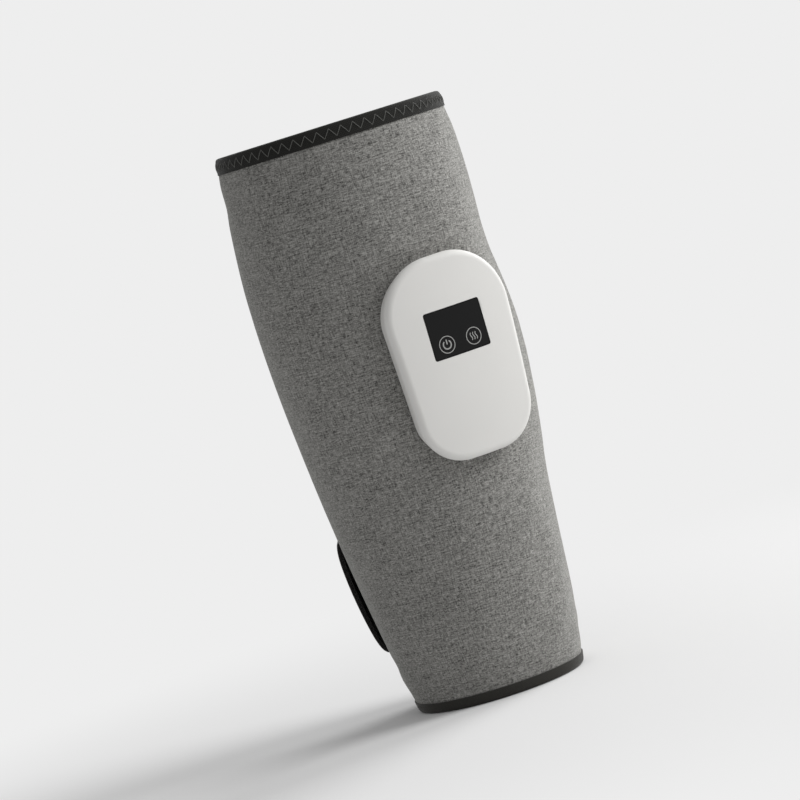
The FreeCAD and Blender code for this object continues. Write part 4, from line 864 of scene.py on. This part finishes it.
def heather_knit(finish):
    # Brushed polyester jersey from mixed grey yarns: no gloss, short light and dark dashes along the courses,
    # faint upright wales, rows of small slanted loops, and a paler edge where its fuzz is seen at a slant.
    # Its loops are about 0.5 mm; they are drawn at nearly twice that, so that they show.
    material, node = start_material("heather_knit_jersey")
    wale, course, dash, fleck, cloud_size = 1.0 * MM, 0.8 * MM, 3.0 * MM, 1.1 * MM, 24 * MM
    slub_length, slub_width, fuzz = 18 * MM, 1.6 * MM, linear("#E8E8E4")
    cloth = node("TexCoord", out="UV")
    loops = node("Mapping", {"Vector": cloth, "Scale": (1 / wale, 1 / course, 1)})
    place = node("SeparateXYZ", {0: loops}, out=None)
    column = node("Math", {0: place[0]}, operation="FRACT")
    offset = node("Math", {0: column, 1: 0.5}, operation="SUBTRACT")
    leg = node("Math", {0: offset}, operation="ABSOLUTE")
    slant = node("Math", {0: place[1], 1: leg}, operation="ADD")
    turn = node("Math", {0: slant, 1: math.pi}, operation="MULTIPLY")
    wave = node("Math", {0: turn}, operation="SINE")
    ridge = node("Math", {0: wave}, operation="ABSOLUTE")
    groove = node("Math", {0: leg, 1: 3.0}, operation="POWER")
    loop = node("Math", {0: groove, 1: -5.0, 2: ridge}, operation="MULTIPLY_ADD")
    along = node("Mapping", {"Vector": cloth, "Scale": (1 / dash, 1 / course, 1)})
    yarn = node("TexNoise", {"Vector": along, "Scale": 1.0, "Detail": 2.0, "Roughness": 0.6})
    short = node("Mapping", {"Vector": cloth, "Scale": (1 / fleck, 1.5 / course, 1)})
    fibre = node("TexNoise", {"Vector": short, "Scale": 1.0, "Detail": 2.0, "Roughness": 0.7})
    upright = node("Mapping", {"Vector": cloth, "Scale": (1.2 / wale, 0.16 / course, 1)})
    stripe = node("TexNoise", {"Vector": upright, "Scale": 1.0, "Detail": 1.0})
    cloud = node("TexNoise", {"Vector": cloth, "Scale": 1 / cloud_size, "Detail": 2.0})
    thick = node("Mapping", {"Vector": cloth, "Scale": (1 / slub_length, 1 / slub_width, 1)})
    slub = node("TexNoise", {"Vector": thick, "Scale": 1.0, "Detail": 1.0})
    toned = yarn
    for layer, share in ((fibre, 0.9), (stripe, 0.55), (slub, 0.3), (loop, 0.06), (cloud, 0.12)):
        toned = node("Math", {0: layer, 1: share, 2: toned}, operation="MULTIPLY_ADD")
    tone = node("MapRange", {0: toned, 1: 1.14, 2: 1.82})
    dark, light = rgba(finish.knit_dark), rgba(finish.knit_light)
    colour = node("Mix", {0: tone, 6: dark, 7: light}, 2, data_type="RGBA")
    relief = node("Math", {0: fibre, 1: 0.8, 2: loop}, operation="MULTIPLY_ADD")
    bump = node("Bump", {"Height": relief, "Strength": 0.35, "Distance": 0.18 * MM})
    shade(node, {"Base Color": colour, "Normal": bump, "Roughness": 0.95, "Specular IOR Level": 0.1,
                 "Sheen Weight": 0.4, "Sheen Roughness": 0.4, "Sheen Tint": rgba(fuzz)})
    return material


def woven_tape(name, colour):
    # Woven polyester binding: dark, a dull gleam, fine ribs square to its length, a weft stepping over them.
    # The ribs are about 0.4 mm; they are drawn at twice that.
    material, node = start_material(name)
    rib, weft, lint_size = 0.85 * MM, 0.7 * MM, 1.3 * MM
    cloth = node("TexCoord", out="UV")
    weave = node("Mapping", {"Vector": cloth, "Scale": (math.pi / rib, math.pi / weft, 1)})
    place = node("SeparateXYZ", {0: weave}, out=None)
    warp = node("Math", {0: place[0]}, operation="SINE")
    fill = node("Math", {0: place[1]}, operation="SINE")
    cross = node("Math", {0: warp, 1: fill}, operation="MULTIPLY")
    lint = node("TexNoise", {"Vector": cloth, "Scale": 1 / lint_size, "Detail": 4.0, "Roughness": 0.7})
    relief = node("Math", {0: lint, 1: 1.5, 2: cross}, operation="MULTIPLY_ADD")
    tone = node("MapRange", {0: relief, 1: -0.6, 2: 2.1})
    mixed = node("Mix", {0: tone, 6: rgba(colour, 0.6), 7: rgba(colour, 1.5)}, 2, data_type="RGBA")
    bump = node("Bump", {"Height": relief, "Strength": 0.5, "Distance": 0.15 * MM})
    shade(node, {"Base Color": mixed, "Normal": bump, "Roughness": 0.8, "Specular IOR Level": 0.12,
                 "Sheen Weight": 0.24, "Sheen Roughness": 0.3})
    return material


def sewing_thread(name, colour):
    # Spun polyester thread: dull, with a fine slant of twisted plies.
    material, node = start_material(name)
    ply_pitch = 0.9 * MM
    place = node("TexCoord", out="Object")
    ply = node("TexWave", {"Vector": place, "Scale": 1 / ply_pitch, "Distortion": 1.5}, "Fac",
               bands_direction="DIAGONAL")
    tone = node("Mix", {0: ply, 6: rgba(colour, 0.7), 7: rgba(colour, 1.3)}, 2, data_type="RGBA")
    bump = node("Bump", {"Height": ply, "Strength": 0.4, "Distance": 0.06 * MM})
    shade(node, {"Base Color": tone, "Normal": bump, "Roughness": 0.7, "Sheen Weight": 0.1})
    return material


def pile_velvet(colour):
    # Short polyester velvet: deep and dull face on, paler at a slant, with soft strokes in the pile.
    # The tufts are about 0.5 mm; they are drawn at three times that.
    material, node = start_material("short_pile_velvet")
    tuft, stroke_size = 1.5 * MM, 30 * MM
    cloth = node("TexCoord", out="UV")
    pile = node("TexNoise", {"Vector": cloth, "Scale": 1 / tuft, "Detail": 4.0, "Roughness": 0.8})
    stroke = node("TexNoise", {"Vector": cloth, "Scale": 1 / stroke_size, "Detail": 2.0, "Distortion": 0.3})
    brushed = node("Math", {0: stroke, 1: 0.5, 2: pile}, operation="MULTIPLY_ADD")
    tone = node("MapRange", {0: brushed, 1: 0.45, 2: 1.05})
    mixed = node("Mix", {0: tone, 6: rgba(colour, 0.45), 7: rgba(colour, 1.8)}, 2, data_type="RGBA")
    bump = node("Bump", {"Height": brushed, "Strength": 0.6, "Distance": 0.5 * MM})
    shade(node, {"Base Color": mixed, "Normal": bump, "Roughness": 0.95, "Specular IOR Level": 0.15,
                 "Sheen Weight": 0.6, "Sheen Roughness": 0.3})
    return material


def brushed_loop(colour, width):
    # Brushed nylon loop webbing: black, matt, a felted nap of curls between two flat ribbed selvedges.
    # The curls are about 0.3 mm and the ribs 0.4 mm; they are drawn several times coarser.
    material, node = start_material("brushed_loop_webbing")
    curl_size, nap_size, rib, selvedge, blur = 1.6 * MM, 4 * MM, 1.3 * MM, 3.2 * MM, 0.3 * MM
    edge = width / 2 - selvedge
    cloth = node("TexCoord", out="UV")
    place = node("SeparateXYZ", {0: cloth}, out=None)
    aside = node("Math", {0: place[1]}, operation="ABSOLUTE")
    flat = node("MapRange", {0: aside, 1: edge - blur, 2: edge + blur})
    curl = node("TexVoronoi", {"Vector": cloth, "Scale": 1 / curl_size, "Randomness": 1.0})
    nap = node("TexNoise", {"Vector": cloth, "Scale": 1 / nap_size, "Detail": 5.0, "Roughness": 0.8})
    felt = node("Math", {0: curl, 1: 0.6, 2: nap}, operation="MULTIPLY_ADD")
    ribs = node("Math", {0: place[0], 1: 2 * math.pi / rib}, operation="MULTIPLY")
    weave = node("Math", {0: ribs}, operation="SINE")
    woven = node("Math", {0: weave, 1: 0.12, 2: 0.5}, operation="MULTIPLY_ADD")
    relief = node("Mix", {0: flat, 2: felt, 3: woven})
    tone = node("MapRange", {0: relief, 1: 0.4, 2: 1.15})
    mixed = node("Mix", {0: tone, 6: rgba(colour, 0.35), 7: rgba(colour, 2.6)}, 2, data_type="RGBA")
    bump = node("Bump", {"Height": relief, "Strength": 0.8, "Distance": 0.5 * MM})
    shade(node, {"Base Color": mixed, "Normal": bump, "Roughness": 0.9, "Specular IOR Level": 0.2,
                 "Sheen Weight": 0.1, "Sheen Roughness": 0.5})
    return material


def moulded(name, colour, roughness, grain, depth):
    # Moulded plastic, rubber or foam: one colour with a faint cloudiness and the fine grain of its mould.
    # Grain and depth are in millimetres.
    material, node = start_material(name)
    cloud_size, spread = 15 * MM, 0.06
    place = node("TexCoord", out="Object")
    fine = node("TexNoise", {"Vector": place, "Scale": 1 / (grain * MM), "Detail": 3.0})
    cloud = node("TexNoise", {"Vector": place, "Scale": 1 / cloud_size, "Detail": 2.0})
    tone = node("Mix", {0: cloud, 6: rgba(colour, 0.9), 7: rgba(colour, 1.1)}, 2, data_type="RGBA")
    rough = node("MapRange", {0: fine, 3: roughness - spread, 4: roughness + spread})
    bump = node("Bump", {"Height": fine, "Strength": 0.4, "Distance": depth * MM})
    shade(node, {"Base Color": tone, "Roughness": rough, "Normal": bump})
    return material


def drawn_metal(name, colour, roughness):
    # Turned or drawn metal: a clear gleam with fine lines along it and a little dulling.
    material, node = start_material(name)
    line_width, line_length = 0.4 * MM, 6 * MM
    place = node("TexCoord", out="Object")
    lines = node("Mapping", {"Vector": place, "Scale": (1 / line_width, 1 / line_width, 1 / line_length)})
    draw = node("TexNoise", {"Vector": lines, "Scale": 1.0, "Detail": 3.0})
    tone = node("Mix", {0: draw, 6: rgba(colour, 0.85), 7: rgba(colour, 1.05)}, 2, data_type="RGBA")
    rough = node("MapRange", {0: draw, 3: roughness - 0.08, 4: roughness + 0.12})
    bump = node("Bump", {"Height": draw, "Strength": 0.25, "Distance": 0.02 * MM})
    shade(node, {"Base Color": tone, "Metallic": 1.0, "Roughness": rough, "Normal": bump})
    return material


def circuit_board():
    # Glass-fibre board under green solder mask: satin, with paler copper runs and darker gaps between them.
    material, node = start_material("solder_masked_board")
    run_pitch = 4 * MM
    place = node("TexCoord", out="Object")
    runs = node("TexBrick", {"Vector": place, "Scale": 1 / run_pitch, "Mortar Size": 0.06,
                             "Color1": rgba(linear("#1E5A3A")), "Color2": rgba(linear("#236643")),
                             "Mortar": rgba(linear("#2F7F55"))}, out=None)
    bump = node("Bump", {"Height": runs["Fac"], "Strength": 0.3, "Distance": 0.04 * MM})
    shade(node, {"Base Color": runs[0], "Roughness": 0.35, "Normal": bump})
    return material


def black_acrylic(colour, up):
    # Back-printed acrylic: near black, smooth gloss with a trace of handling, and a darker printed border.
    material, node = start_material("back_printed_acrylic")
    low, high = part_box("display_lens")
    middle, half = (low + high) / 2, (high - low) / 2
    border, fade, smear_size = 1.0 * MM, 0.25 * MM, 7 * MM
    place = node("TexCoord", out="Object")
    shifted = node("VectorMath", {0: place, 1: middle}, operation="SUBTRACT")
    x = node("SeparateXYZ", {0: shifted})
    y = node("VectorMath", {0: shifted, 1: up}, "Value", operation="DOT_PRODUCT")
    beside = node("Math", {0: x}, operation="ABSOLUTE")
    beyond = node("Math", {0: y}, operation="ABSOLUTE")
    over_side = node("Math", {0: beside, 1: half.x - border}, operation="SUBTRACT")
    over_end = node("Math", {0: beyond, 1: half.z - border}, operation="SUBTRACT")
    over = node("Math", {0: over_side, 1: over_end}, operation="MAXIMUM")
    printed = node("MapRange", {0: over, 1: -fade, 2: fade})
    mixed = node("Mix", {0: printed, 6: rgba(colour), 7: rgba(colour, 0.3)}, 2, data_type="RGBA")
    smear = node("TexNoise", {"Vector": place, "Scale": 1 / smear_size, "Detail": 4.0})
    rough = node("MapRange", {0: smear, 3: 0.12, 4: 0.2})
    shade(node, {"Base Color": mixed, "Roughness": rough, "IOR": 1.49, "Specular IOR Level": 0.2})
    return material


def satin_shell(colour):
    # Injection-moulded ABS with a fine spark-eroded texture: off-white, an even satin gleam, no pattern.
    material, node = start_material("satin_moulded_abs")
    grain_size, cloud_size = 0.35 * MM, 40 * MM
    place = node("TexCoord", out="Object")
    grain = node("TexNoise", {"Vector": place, "Scale": 1 / grain_size, "Detail": 2.0})
    cloud = node("TexNoise", {"Vector": place, "Scale": 1 / cloud_size, "Detail": 2.0})
    tone = node("Mix", {0: cloud, 6: rgba(colour, 0.97), 7: rgba(colour, 1.02)}, 2, data_type="RGBA")
    rough = node("MapRange", {0: grain, 3: 0.5, 4: 0.6})
    bump = node("Bump", {"Height": grain, "Strength": 0.12, "Distance": 0.03 * MM})
    shade(node, {"Base Color": tone, "Roughness": rough, "Normal": bump, "IOR": 1.52,
                 "Specular IOR Level": 0.3})
    return material


def dress(material, *nodes):
    """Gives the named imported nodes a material."""
    for node in nodes:
        for material_slot in frame["nodes"][node].material_slots:
            material_slot.material = material


class MASSAGER_OT_knit_cover(bpy.types.Operator):
    """Swells the knit cover over its padding and parts it before the fold"""

    bl_idname = "massager.knit_cover"
    bl_label = "Knit cover"

    def execute(self, context):
        sizes = context.scene.massager_wrap
        signs = context.scene.massager_sign
        knit = heather_knit(context.scene.massager_finish)
        bearing, height = panel_grid(sizes, KNIT_TUCK)
        from_pod = pod_clearance(sizes, signs, around(sizes, bearing, height))
        from_tape = tape_clearance(sizes, bearing, height)
        at_tape = ease(1 - from_tape / sizes.draw_reach)
        at_pod = ease(1 - from_pod / sizes.draw_reach)
        free = (1 - at_tape) * (1 - at_pod)
        fullness = KNIT_RIPPLE * ripple(bearing, height) + sizes.cheek * beside_pod(signs, bearing, height)
        depth = KNIT_DEPTH + sizes.draw * at_tape + sizes.pod_draw * at_pod - fullness * free
        depth += sizes.hollow * above_cheek(bearing, height) * free
        held = (from_tape < KNIT_HELD) | (from_pod < KNIT_HELD)
        face = around(sizes, bearing, height, depth)
        inward = around(sizes, bearing, height, depth + sizes.cover_sheet) - face
        outer = swelled("swelling_knit", face, held, sizes.swell)
        pieces = (("knit_cover", "outer_cover", "wrap"), ("flap_knit_cover", "flap_cover", ""))
        wall_panels(sizes, bearing, height, (outer, outer + inward), knit, pieces)
        return {"FINISHED"}


class MASSAGER_OT_velvet_lining(bpy.types.Operator):
    """Lays the velvet lining inside the wall and parts it before the fold"""

    bl_idname = "massager.velvet_lining"
    bl_label = "Velvet lining"

    def execute(self, context):
        sizes = context.scene.massager_wrap
        velvet = pile_velvet(context.scene.massager_finish.velvet)
        bearing, height = panel_grid(sizes, LINING_TUCK)
        drawn = ease(1 - tape_clearance(sizes, bearing, height) / sizes.draw_reach)
        uneven = LINING_RIPPLE * ripple(bearing + LINING_TURN, height) * (1 - drawn)
        depth = sizes.wall - sizes.draw * drawn + uneven
        inner = around(sizes, bearing, height, depth)
        outer = around(sizes, bearing, height, depth - sizes.lining_sheet)
        pieces = (("velvet_lining", "lining", "wrap"), ("flap_velvet_lining", "flap_lining", ""))
        wall_panels(sizes, bearing, height, (outer, inner), velvet, pieces)
        return {"FINISHED"}


class MASSAGER_OT_binding_tapes(bpy.types.Operator):
    """Folds the binding tapes over the top edge, the hem and both closing edges"""

    bl_idname = "massager.binding_tapes"
    bl_label = "Binding tapes"

    def execute(self, context):
        sizes = context.scene.massager_wrap
        finish = context.scene.massager_finish
        wide = woven_tape("woven_polyester_tape", finish.tape)
        # The hem's tape is the top tape's woven material in a colour about twice as light: painted light for
        # the light that falls on the hem.
        narrow = woven_tape("woven_polyester_tape_painted_lighter", finish.hem_tape)
        first, last = closing_bearings(sizes)
        split = split_bearing()
        top, hem = (sizes.top_tape, True), (sizes.hem_tape, False)
        tapes = (
            ("top_tape", rim_tape(sizes, first, split, *top), wide, "top_binding", "wrap"),
            ("hem_tape", rim_tape(sizes, first, split, *hem), narrow, "hem_binding", "wrap"),
            ("closing_edge_tape", edge_tape(sizes, first, 1), wide, "closing_edge_binding", "wrap"),
            ("flap_top_tape", rim_tape(sizes, split, last, *top), wide, "flap_top_binding", ""),
            ("flap_hem_tape", rim_tape(sizes, split, last, *hem), narrow, "flap_hem_binding", ""),
            ("flap_edge_tape", edge_tape(sizes, last, -1), wide, "flap_edge_binding", "flap"),
        )
        for name, (sections, uv), material, node, body in tapes:
            piece = make_piece(name, *swept(sections), material, uv, crease=TAPE_CREASE)
            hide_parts(node)
            carry(piece, body)
        return {"FINISHED"}


class MASSAGER_OT_zigzag(bpy.types.Operator):
    """Sews the zigzag stitch along the top tape"""

    bl_idname = "massager.zigzag"
    bl_label = "Zigzag stitch"

    def execute(self, context):
        sizes = context.scene.massager_wrap
        thread = sewing_thread("grey_sewing_thread", context.scene.massager_finish.thread)
        first, last = closing_bearings(sizes)
        split = split_bearing()
        rows = (
            ("top_zigzag", first + ZIGZAG_MARGIN, split, "wrap"),
            ("flap_top_zigzag", split, last - ZIGZAG_MARGIN, ""),
        )
        for name, start, end, body in rows:
            paths = zigzag_paths(sizes, start, end)
            piece = make_piece(name, *threads(paths, paths * [1, 1, 0], sizes.thread), thread)
            carry(piece, body)
        return {"FINISHED"}


class MASSAGER_OT_straps(bpy.types.Operator):
    """Lays both straps round the closing edges and sews their roots down"""

    bl_idname = "massager.straps"
    bl_label = "Straps"

    def execute(self, context):
        sizes = context.scene.massager_wrap
        strap = context.scene.massager_strap
        finish = context.scene.massager_finish
        webbing = brushed_loop(finish.webbing, strap.width)
        thread = sewing_thread("black_sewing_thread", finish.webbing)
        for place in ("upper", "lower"):
            joint = JOINTS[place + "_strap_peel"]
            outer, inner, uv = strap_band(sizes, strap, joint)
            band = make_piece(place + "_strap_band", *closed_shell(outer, inner), webbing, both_sides(uv))
            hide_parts(place + "_strap", place + "_strap_root")
            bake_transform(band)
            paths = box_stitch(sizes, strap, joint)
            sewn = threads(paths, paths * [1, 1, 0], sizes.thread)
            stitches = make_piece(place + "_strap_stitching", *sewn, thread)
            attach(stitches, "flap")
        return {"FINISHED"}


class MASSAGER_OT_hook_strips(bpy.types.Operator):
    """Puts the hook strips under the straps' ends"""

    bl_idname = "massager.hook_strips"
    bl_label = "Hook strips"

    def execute(self, context):
        sizes = context.scene.massager_wrap
        strap = context.scene.massager_strap
        # Moulded nylon: charcoal and half matt, with a slight gleam along each hook.
        nylon = moulded("moulded_nylon_hook", linear("#3A3936"), 0.45, 0.5, 0.02)
        for place in ("upper", "lower"):
            joint = JOINTS[place + "_strap_peel"]
            paths = hook_paths(sizes, strap, joint)
            upright = np.broadcast_to([0.0, 0.0, 1.0], paths.shape)
            hooks = threads(paths, upright, HOOK_RADIUS, HOOK_SIDES)
            sheet = closed_shell(*hook_strip(sizes, strap, joint))
            strip = make_piece(place + "_hook_strip", *joined([sheet, hooks]), nylon)
            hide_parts(place + "_hook_pad")
            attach(strip, place + "_strap")
        return {"FINISHED"}


class MASSAGER_OT_pod(bpy.types.Operator):
    """Finishes the pod's shell, window and keys"""

    bl_idname = "massager.pod"
    bl_label = "Pod"

    def execute(self, context):
        finish = context.scene.massager_finish
        _, up, _ = pod_axes(context.scene.massager_wrap, context.scene.massager_sign)
        dress(satin_shell(finish.shell), "pod_front_cover")
        dress(black_acrylic(finish.window, Vector(up)), "display_lens", "power_key", "heat_key")
        # Plain moulded ABS: mid grey and half matt.
        dress(moulded("grey_moulded_abs", linear("#7C7C7A"), 0.55, 0.4, 0.02), "pod_rear_case")
        return {"FINISHED"}


class MASSAGER_OT_key_signs(bpy.types.Operator):
    """Prints the ringed power and heat signs on the keys"""

    bl_idname = "massager.key_signs"
    bl_label = "Key signs"

    def execute(self, context):
        sizes = context.scene.massager_wrap
        signs = context.scene.massager_sign
        # Screen-printing ink: pale grey, half matt, almost without grain.
        ink = moulded("screen_printing_ink", context.scene.massager_finish.ink, 0.5, 0.3, 0.01)
        ring = circle_path(signs.ring, 0, 360 - 360 / RING_POINTS, RING_POINTS)
        rise = np.linspace(-0.5, 0.5, WAVE_POINTS)
        wave = np.stack([-signs.heat_swing * np.sin(2 * math.pi * rise), signs.heat_height * rise], 1)
        reach = np.linspace(0, signs.power_radius * BAR_SHARE, BAR_POINTS)
        bar = np.stack([np.zeros(BAR_POINTS), reach], 1)
        arc = circle_path(signs.power_radius, 90 + POWER_GAP, 450 - POWER_GAP, ARC_POINTS)
        lines = {
            "power": [(arc, signs.power_line), (bar, signs.power_line)],
            "heat": [(wave + [step * signs.heat_pitch, 0], signs.heat_line) for step in (-1, 0, 1)],
        }
        for sign, strokes in lines.items():
            centre = key_centre(sizes, signs, sign + "_key")
            parts = [ribbon(sizes, signs, centre, ring, signs.ring_line, ring=True)]
            parts += [ribbon(sizes, signs, centre, path, line) for path, line in strokes]
            piece = make_piece(sign + "_sign", *joined(parts), ink)
            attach(piece, sign + "_key")
        return {"FINISHED"}


# Moulded and laminated finishes of the inner parts: colour, roughness, grain and its depth in millimetres,
# and the nodes that have it. The line over each says what it gives the eye.
INNER_MOULDINGS = {
    # Milky sheet with a soft gleam and a slight crinkle.
    "welded_tpu_film": ("#C9CBC8", 0.4, 1.5, 0.05, ("upper_air_bladder", "lower_air_bladder")),
    # Smooth amber sheet.
    "laminated_heater_film": ("#8A5A2C", 0.5, 0.8, 0.03, ("heating_film",)),
    # Dull cream with open pores.
    "open_cell_foam": ("#B9B7AE", 0.9, 0.9, 0.3, ("flap_padding", "battery_pad")),
    # Half-matt black.
    "black_moulded_nylon": ("#1A1A1A", 0.5, 0.4, 0.02,
                            ("display_module", "key_switches", "controller_chip", "charge_socket")),
    # Pale smooth foil with long soft creases.
    "laminated_cell_foil": ("#B8BCC0", 0.35, 2.0, 0.05, ("battery",)),
    # Milky white with a waxy gleam.
    "white_acetal": ("#D8D8D2", 0.42, 0.5, 0.02,
                     ("pump_crank", "pump_housing", "wobble_plate", "pump_cover", "pump_cradle",
                      "air_manifold", "lower_valve", "upper_valve")),
    # Cloudy, smooth and soft.
    "clear_silicone_tube": ("#D5D6D2", 0.35, 1.0, 0.03, ("pump_hose", "lower_hose", "upper_hose")),
    # Dull black.
    "black_rubber": ("#181818", 0.75, 0.5, 0.05, ("pump_diaphragm",)),
}


class MASSAGER_OT_inner_works(bpy.types.Operator):
    """Finishes the parts inside the wall and the pod"""

    bl_idname = "massager.inner_works"
    bl_label = "Inner works"

    def execute(self, context):
        for name, (colour, roughness, grain, depth, nodes) in INNER_MOULDINGS.items():
            dress(moulded(name, linear(colour), roughness, grain, depth), *nodes)
        dress(circuit_board(), "control_board", "charge_board")
        # Zinc plating is pale and cool; brass is warm and yellow.
        steel = drawn_metal("zinc_plated_steel", linear("#C4C6C8"), 0.32)
        brass = drawn_metal("turned_brass", linear("#C9A860"), 0.3)
        dress(steel, "case_screws", "board_screws", "pump_motor")
        dress(brass, "lower_valve_plunger", "upper_valve_plunger")
        return {"FINISHED"}


def background_rays(node):
    """1 for rays that show the backdrop: seen directly, in a reflection or through a clear piece."""
    path = node("LightPath", out=None)
    mirrored = node("Math", {0: path["Is Camera Ray"], 1: path["Is Glossy Ray"]}, operation="MAXIMUM")
    return node("Math", {0: mirrored, 1: path["Is Transmission Ray"]}, operation="MAXIMUM")


def studio_floor(finish):
    # Matt painted board: pale and dull near the object, where it takes its shadow, and lost in the backdrop
    # further off.
    material, node = start_material("matt_painted_board")
    place = node("TexCoord", out="Object")
    away = node("VectorMath", {0: place}, "Value", operation="LENGTH")
    far = node("MapRange", {0: away, 1: FLOOR_NEAR, 2: FLOOR_FAR}, interpolation_type="SMOOTHSTEP")
    seen = node("Math", {0: far, 1: background_rays(node)}, operation="MULTIPLY")
    board = node("BsdfDiffuse", {"Color": rgba(finish.floor)})
    glow = node("Emission", {"Color": rgba(finish.backdrop), "Strength": 1.0})
    mixed = node("MixShader", {0: seen, 1: board, 2: glow})
    node("OutputMaterial", {"Surface": mixed}, out=None)
    return material


def add_floor(material):
    """A level square about the object's foot, as a grid of a few even lines."""
    side = np.linspace(-FLOOR_HALF, FLOOR_HALF, FLOOR_LINES)
    x, y = np.meshgrid(side, side)
    points = np.stack([x, y, np.zeros_like(x)], -1).reshape(-1, 3)
    mesh = bpy.data.meshes.new("floor")
    mesh.from_pydata(points.tolist(), [], grid_quads(np.arange(x.size).reshape(x.shape)).tolist())
    mesh.materials.append(material)
    floor = bpy.data.objects.new("floor", mesh)
    bpy.context.scene.collection.objects.link(floor)


def add_lamp(name, level, aim, bearing, elevation, distance, size):
    """A round soft lamp aimed at the object; level 1 lights a white sheet facing it to white."""
    lamp = bpy.data.lights.new(name, "AREA")
    lamp.shape = "DISK"
    lamp.size = size
    lamp.energy = level * math.pi ** 2 * distance ** 2
    place = bpy.data.objects.new(name, lamp)
    turn, rise = math.radians(bearing), math.radians(elevation)
    flat = math.cos(rise)
    outward = Vector((math.cos(turn) * flat, math.sin(turn) * flat, math.sin(rise)))
    place.location = aim + outward * distance
    place.rotation_euler = outward.to_track_quat("Z", "Y").to_euler()
    bpy.context.scene.collection.objects.link(place)


def view_axes(eye, aim):
    """The camera's directions: ahead from the eye to the aim, right level, and up square to both."""
    ahead = (aim - eye).normalized()
    right = ahead.cross(Vector((0, 0, 1))).normalized()
    return ahead, right, right.cross(ahead)


def add_camera(settings, middle):
    """The camera: aimed from its azimuth, height and distance, and rolled so that the object leans left."""
    aside = settings.distance * math.sin(settings.azimuth)
    back = settings.distance * math.cos(settings.azimuth)
    eye = Vector((-aside, -back, settings.eye_height))
    _, right, up = view_axes(eye, middle)
    ahead, right, up = view_axes(eye, middle + right * settings.aim_right + up * settings.aim_up)
    rolled_right = right * math.cos(settings.roll) - up * math.sin(settings.roll)
    rolled_up = right * math.sin(settings.roll) + up * math.cos(settings.roll)
    camera = bpy.data.cameras.new("camera")
    camera.lens = settings.lens
    camera.sensor_width = SENSOR_WIDTH
    camera.clip_end = CLIP_END
    view = bpy.data.objects.new("camera", camera)
    turn = Matrix((rolled_right, rolled_up, -ahead)).transposed()
    view.matrix_world = Matrix.Translation(eye) @ turn.to_4x4()
    bpy.context.scene.collection.objects.link(view)
    bpy.context.scene.camera = view


class MASSAGER_OT_stage(bpy.types.Operator):
    """Sets the floor, the backdrop, the lamps and the camera"""

    bl_idname = "massager.stage"
    bl_label = "Stage"

    def execute(self, context):
        finish = context.scene.massager_finish
        settings = context.scene.massager_stage
        add_floor(studio_floor(finish))
        world = bpy.data.worlds.new("studio")
        world.use_nodes = True
        world.node_tree.nodes.clear()
        node = partial(add_node, world.node_tree)
        soft = node("Background", {"Color": (1, 1, 1, 1), "Strength": settings.ambient})
        seen = node("Background", {"Color": rgba(finish.backdrop), "Strength": 1.0})
        mixed = node("MixShader", {0: background_rays(node), 1: soft, 2: seen})
        node("OutputWorld", {"Surface": mixed}, out=None)
        context.scene.world = world
        middle = Vector((0, 0, settings.aim_height))
        for name, place in LAMPS.items():
            add_lamp(name, getattr(settings, name), middle, *place)
        add_camera(settings, middle)
        context.scene.view_settings.view_transform = "Standard"
        return {"FINISHED"}


OPERATORS = (
    MASSAGER_OT_knit_cover,
    MASSAGER_OT_velvet_lining,
    MASSAGER_OT_binding_tapes,
    MASSAGER_OT_zigzag,
    MASSAGER_OT_straps,
    MASSAGER_OT_hook_strips,
    MASSAGER_OT_pod,
    MASSAGER_OT_key_signs,
    MASSAGER_OT_inner_works,
    MASSAGER_OT_stage,
)

GROUPS = {
    "massager_wrap": WrapSizes,
    "massager_strap": StrapSizes,
    "massager_sign": SignSizes,
    "massager_finish": Finish,
    "massager_stage": StageSettings,
}


class MASSAGER_PT_pieces(bpy.types.Panel):
    """Lists the pieces of the calf massager"""

    bl_idname = "MASSAGER_PT_pieces"
    bl_label = "Calf massager"
    bl_space_type = "VIEW_3D"
    bl_region_type = "UI"
    bl_category = "Massager"

    def draw(self, context):
        for operator in OPERATORS:
            self.layout.operator(operator.bl_idname)


CLASSES = (*GROUPS.values(), *OPERATORS, MASSAGER_PT_pieces)


def register():
    for each in CLASSES:
        bpy.utils.register_class(each)
    for name, group in GROUPS.items():
        setattr(bpy.types.Scene, name, bpy.props.PointerProperty(type=group))


def unregister():
    for name in GROUPS:
        delattr(bpy.types.Scene, name)
    for each in reversed(CLASSES):
        bpy.utils.unregister_class(each)


def main():
    register()
    for operator in OPERATORS:
        area, name = operator.bl_idname.split(".")
        getattr(getattr(bpy.ops, area), name)()


if __name__ == "__main__":
    main()
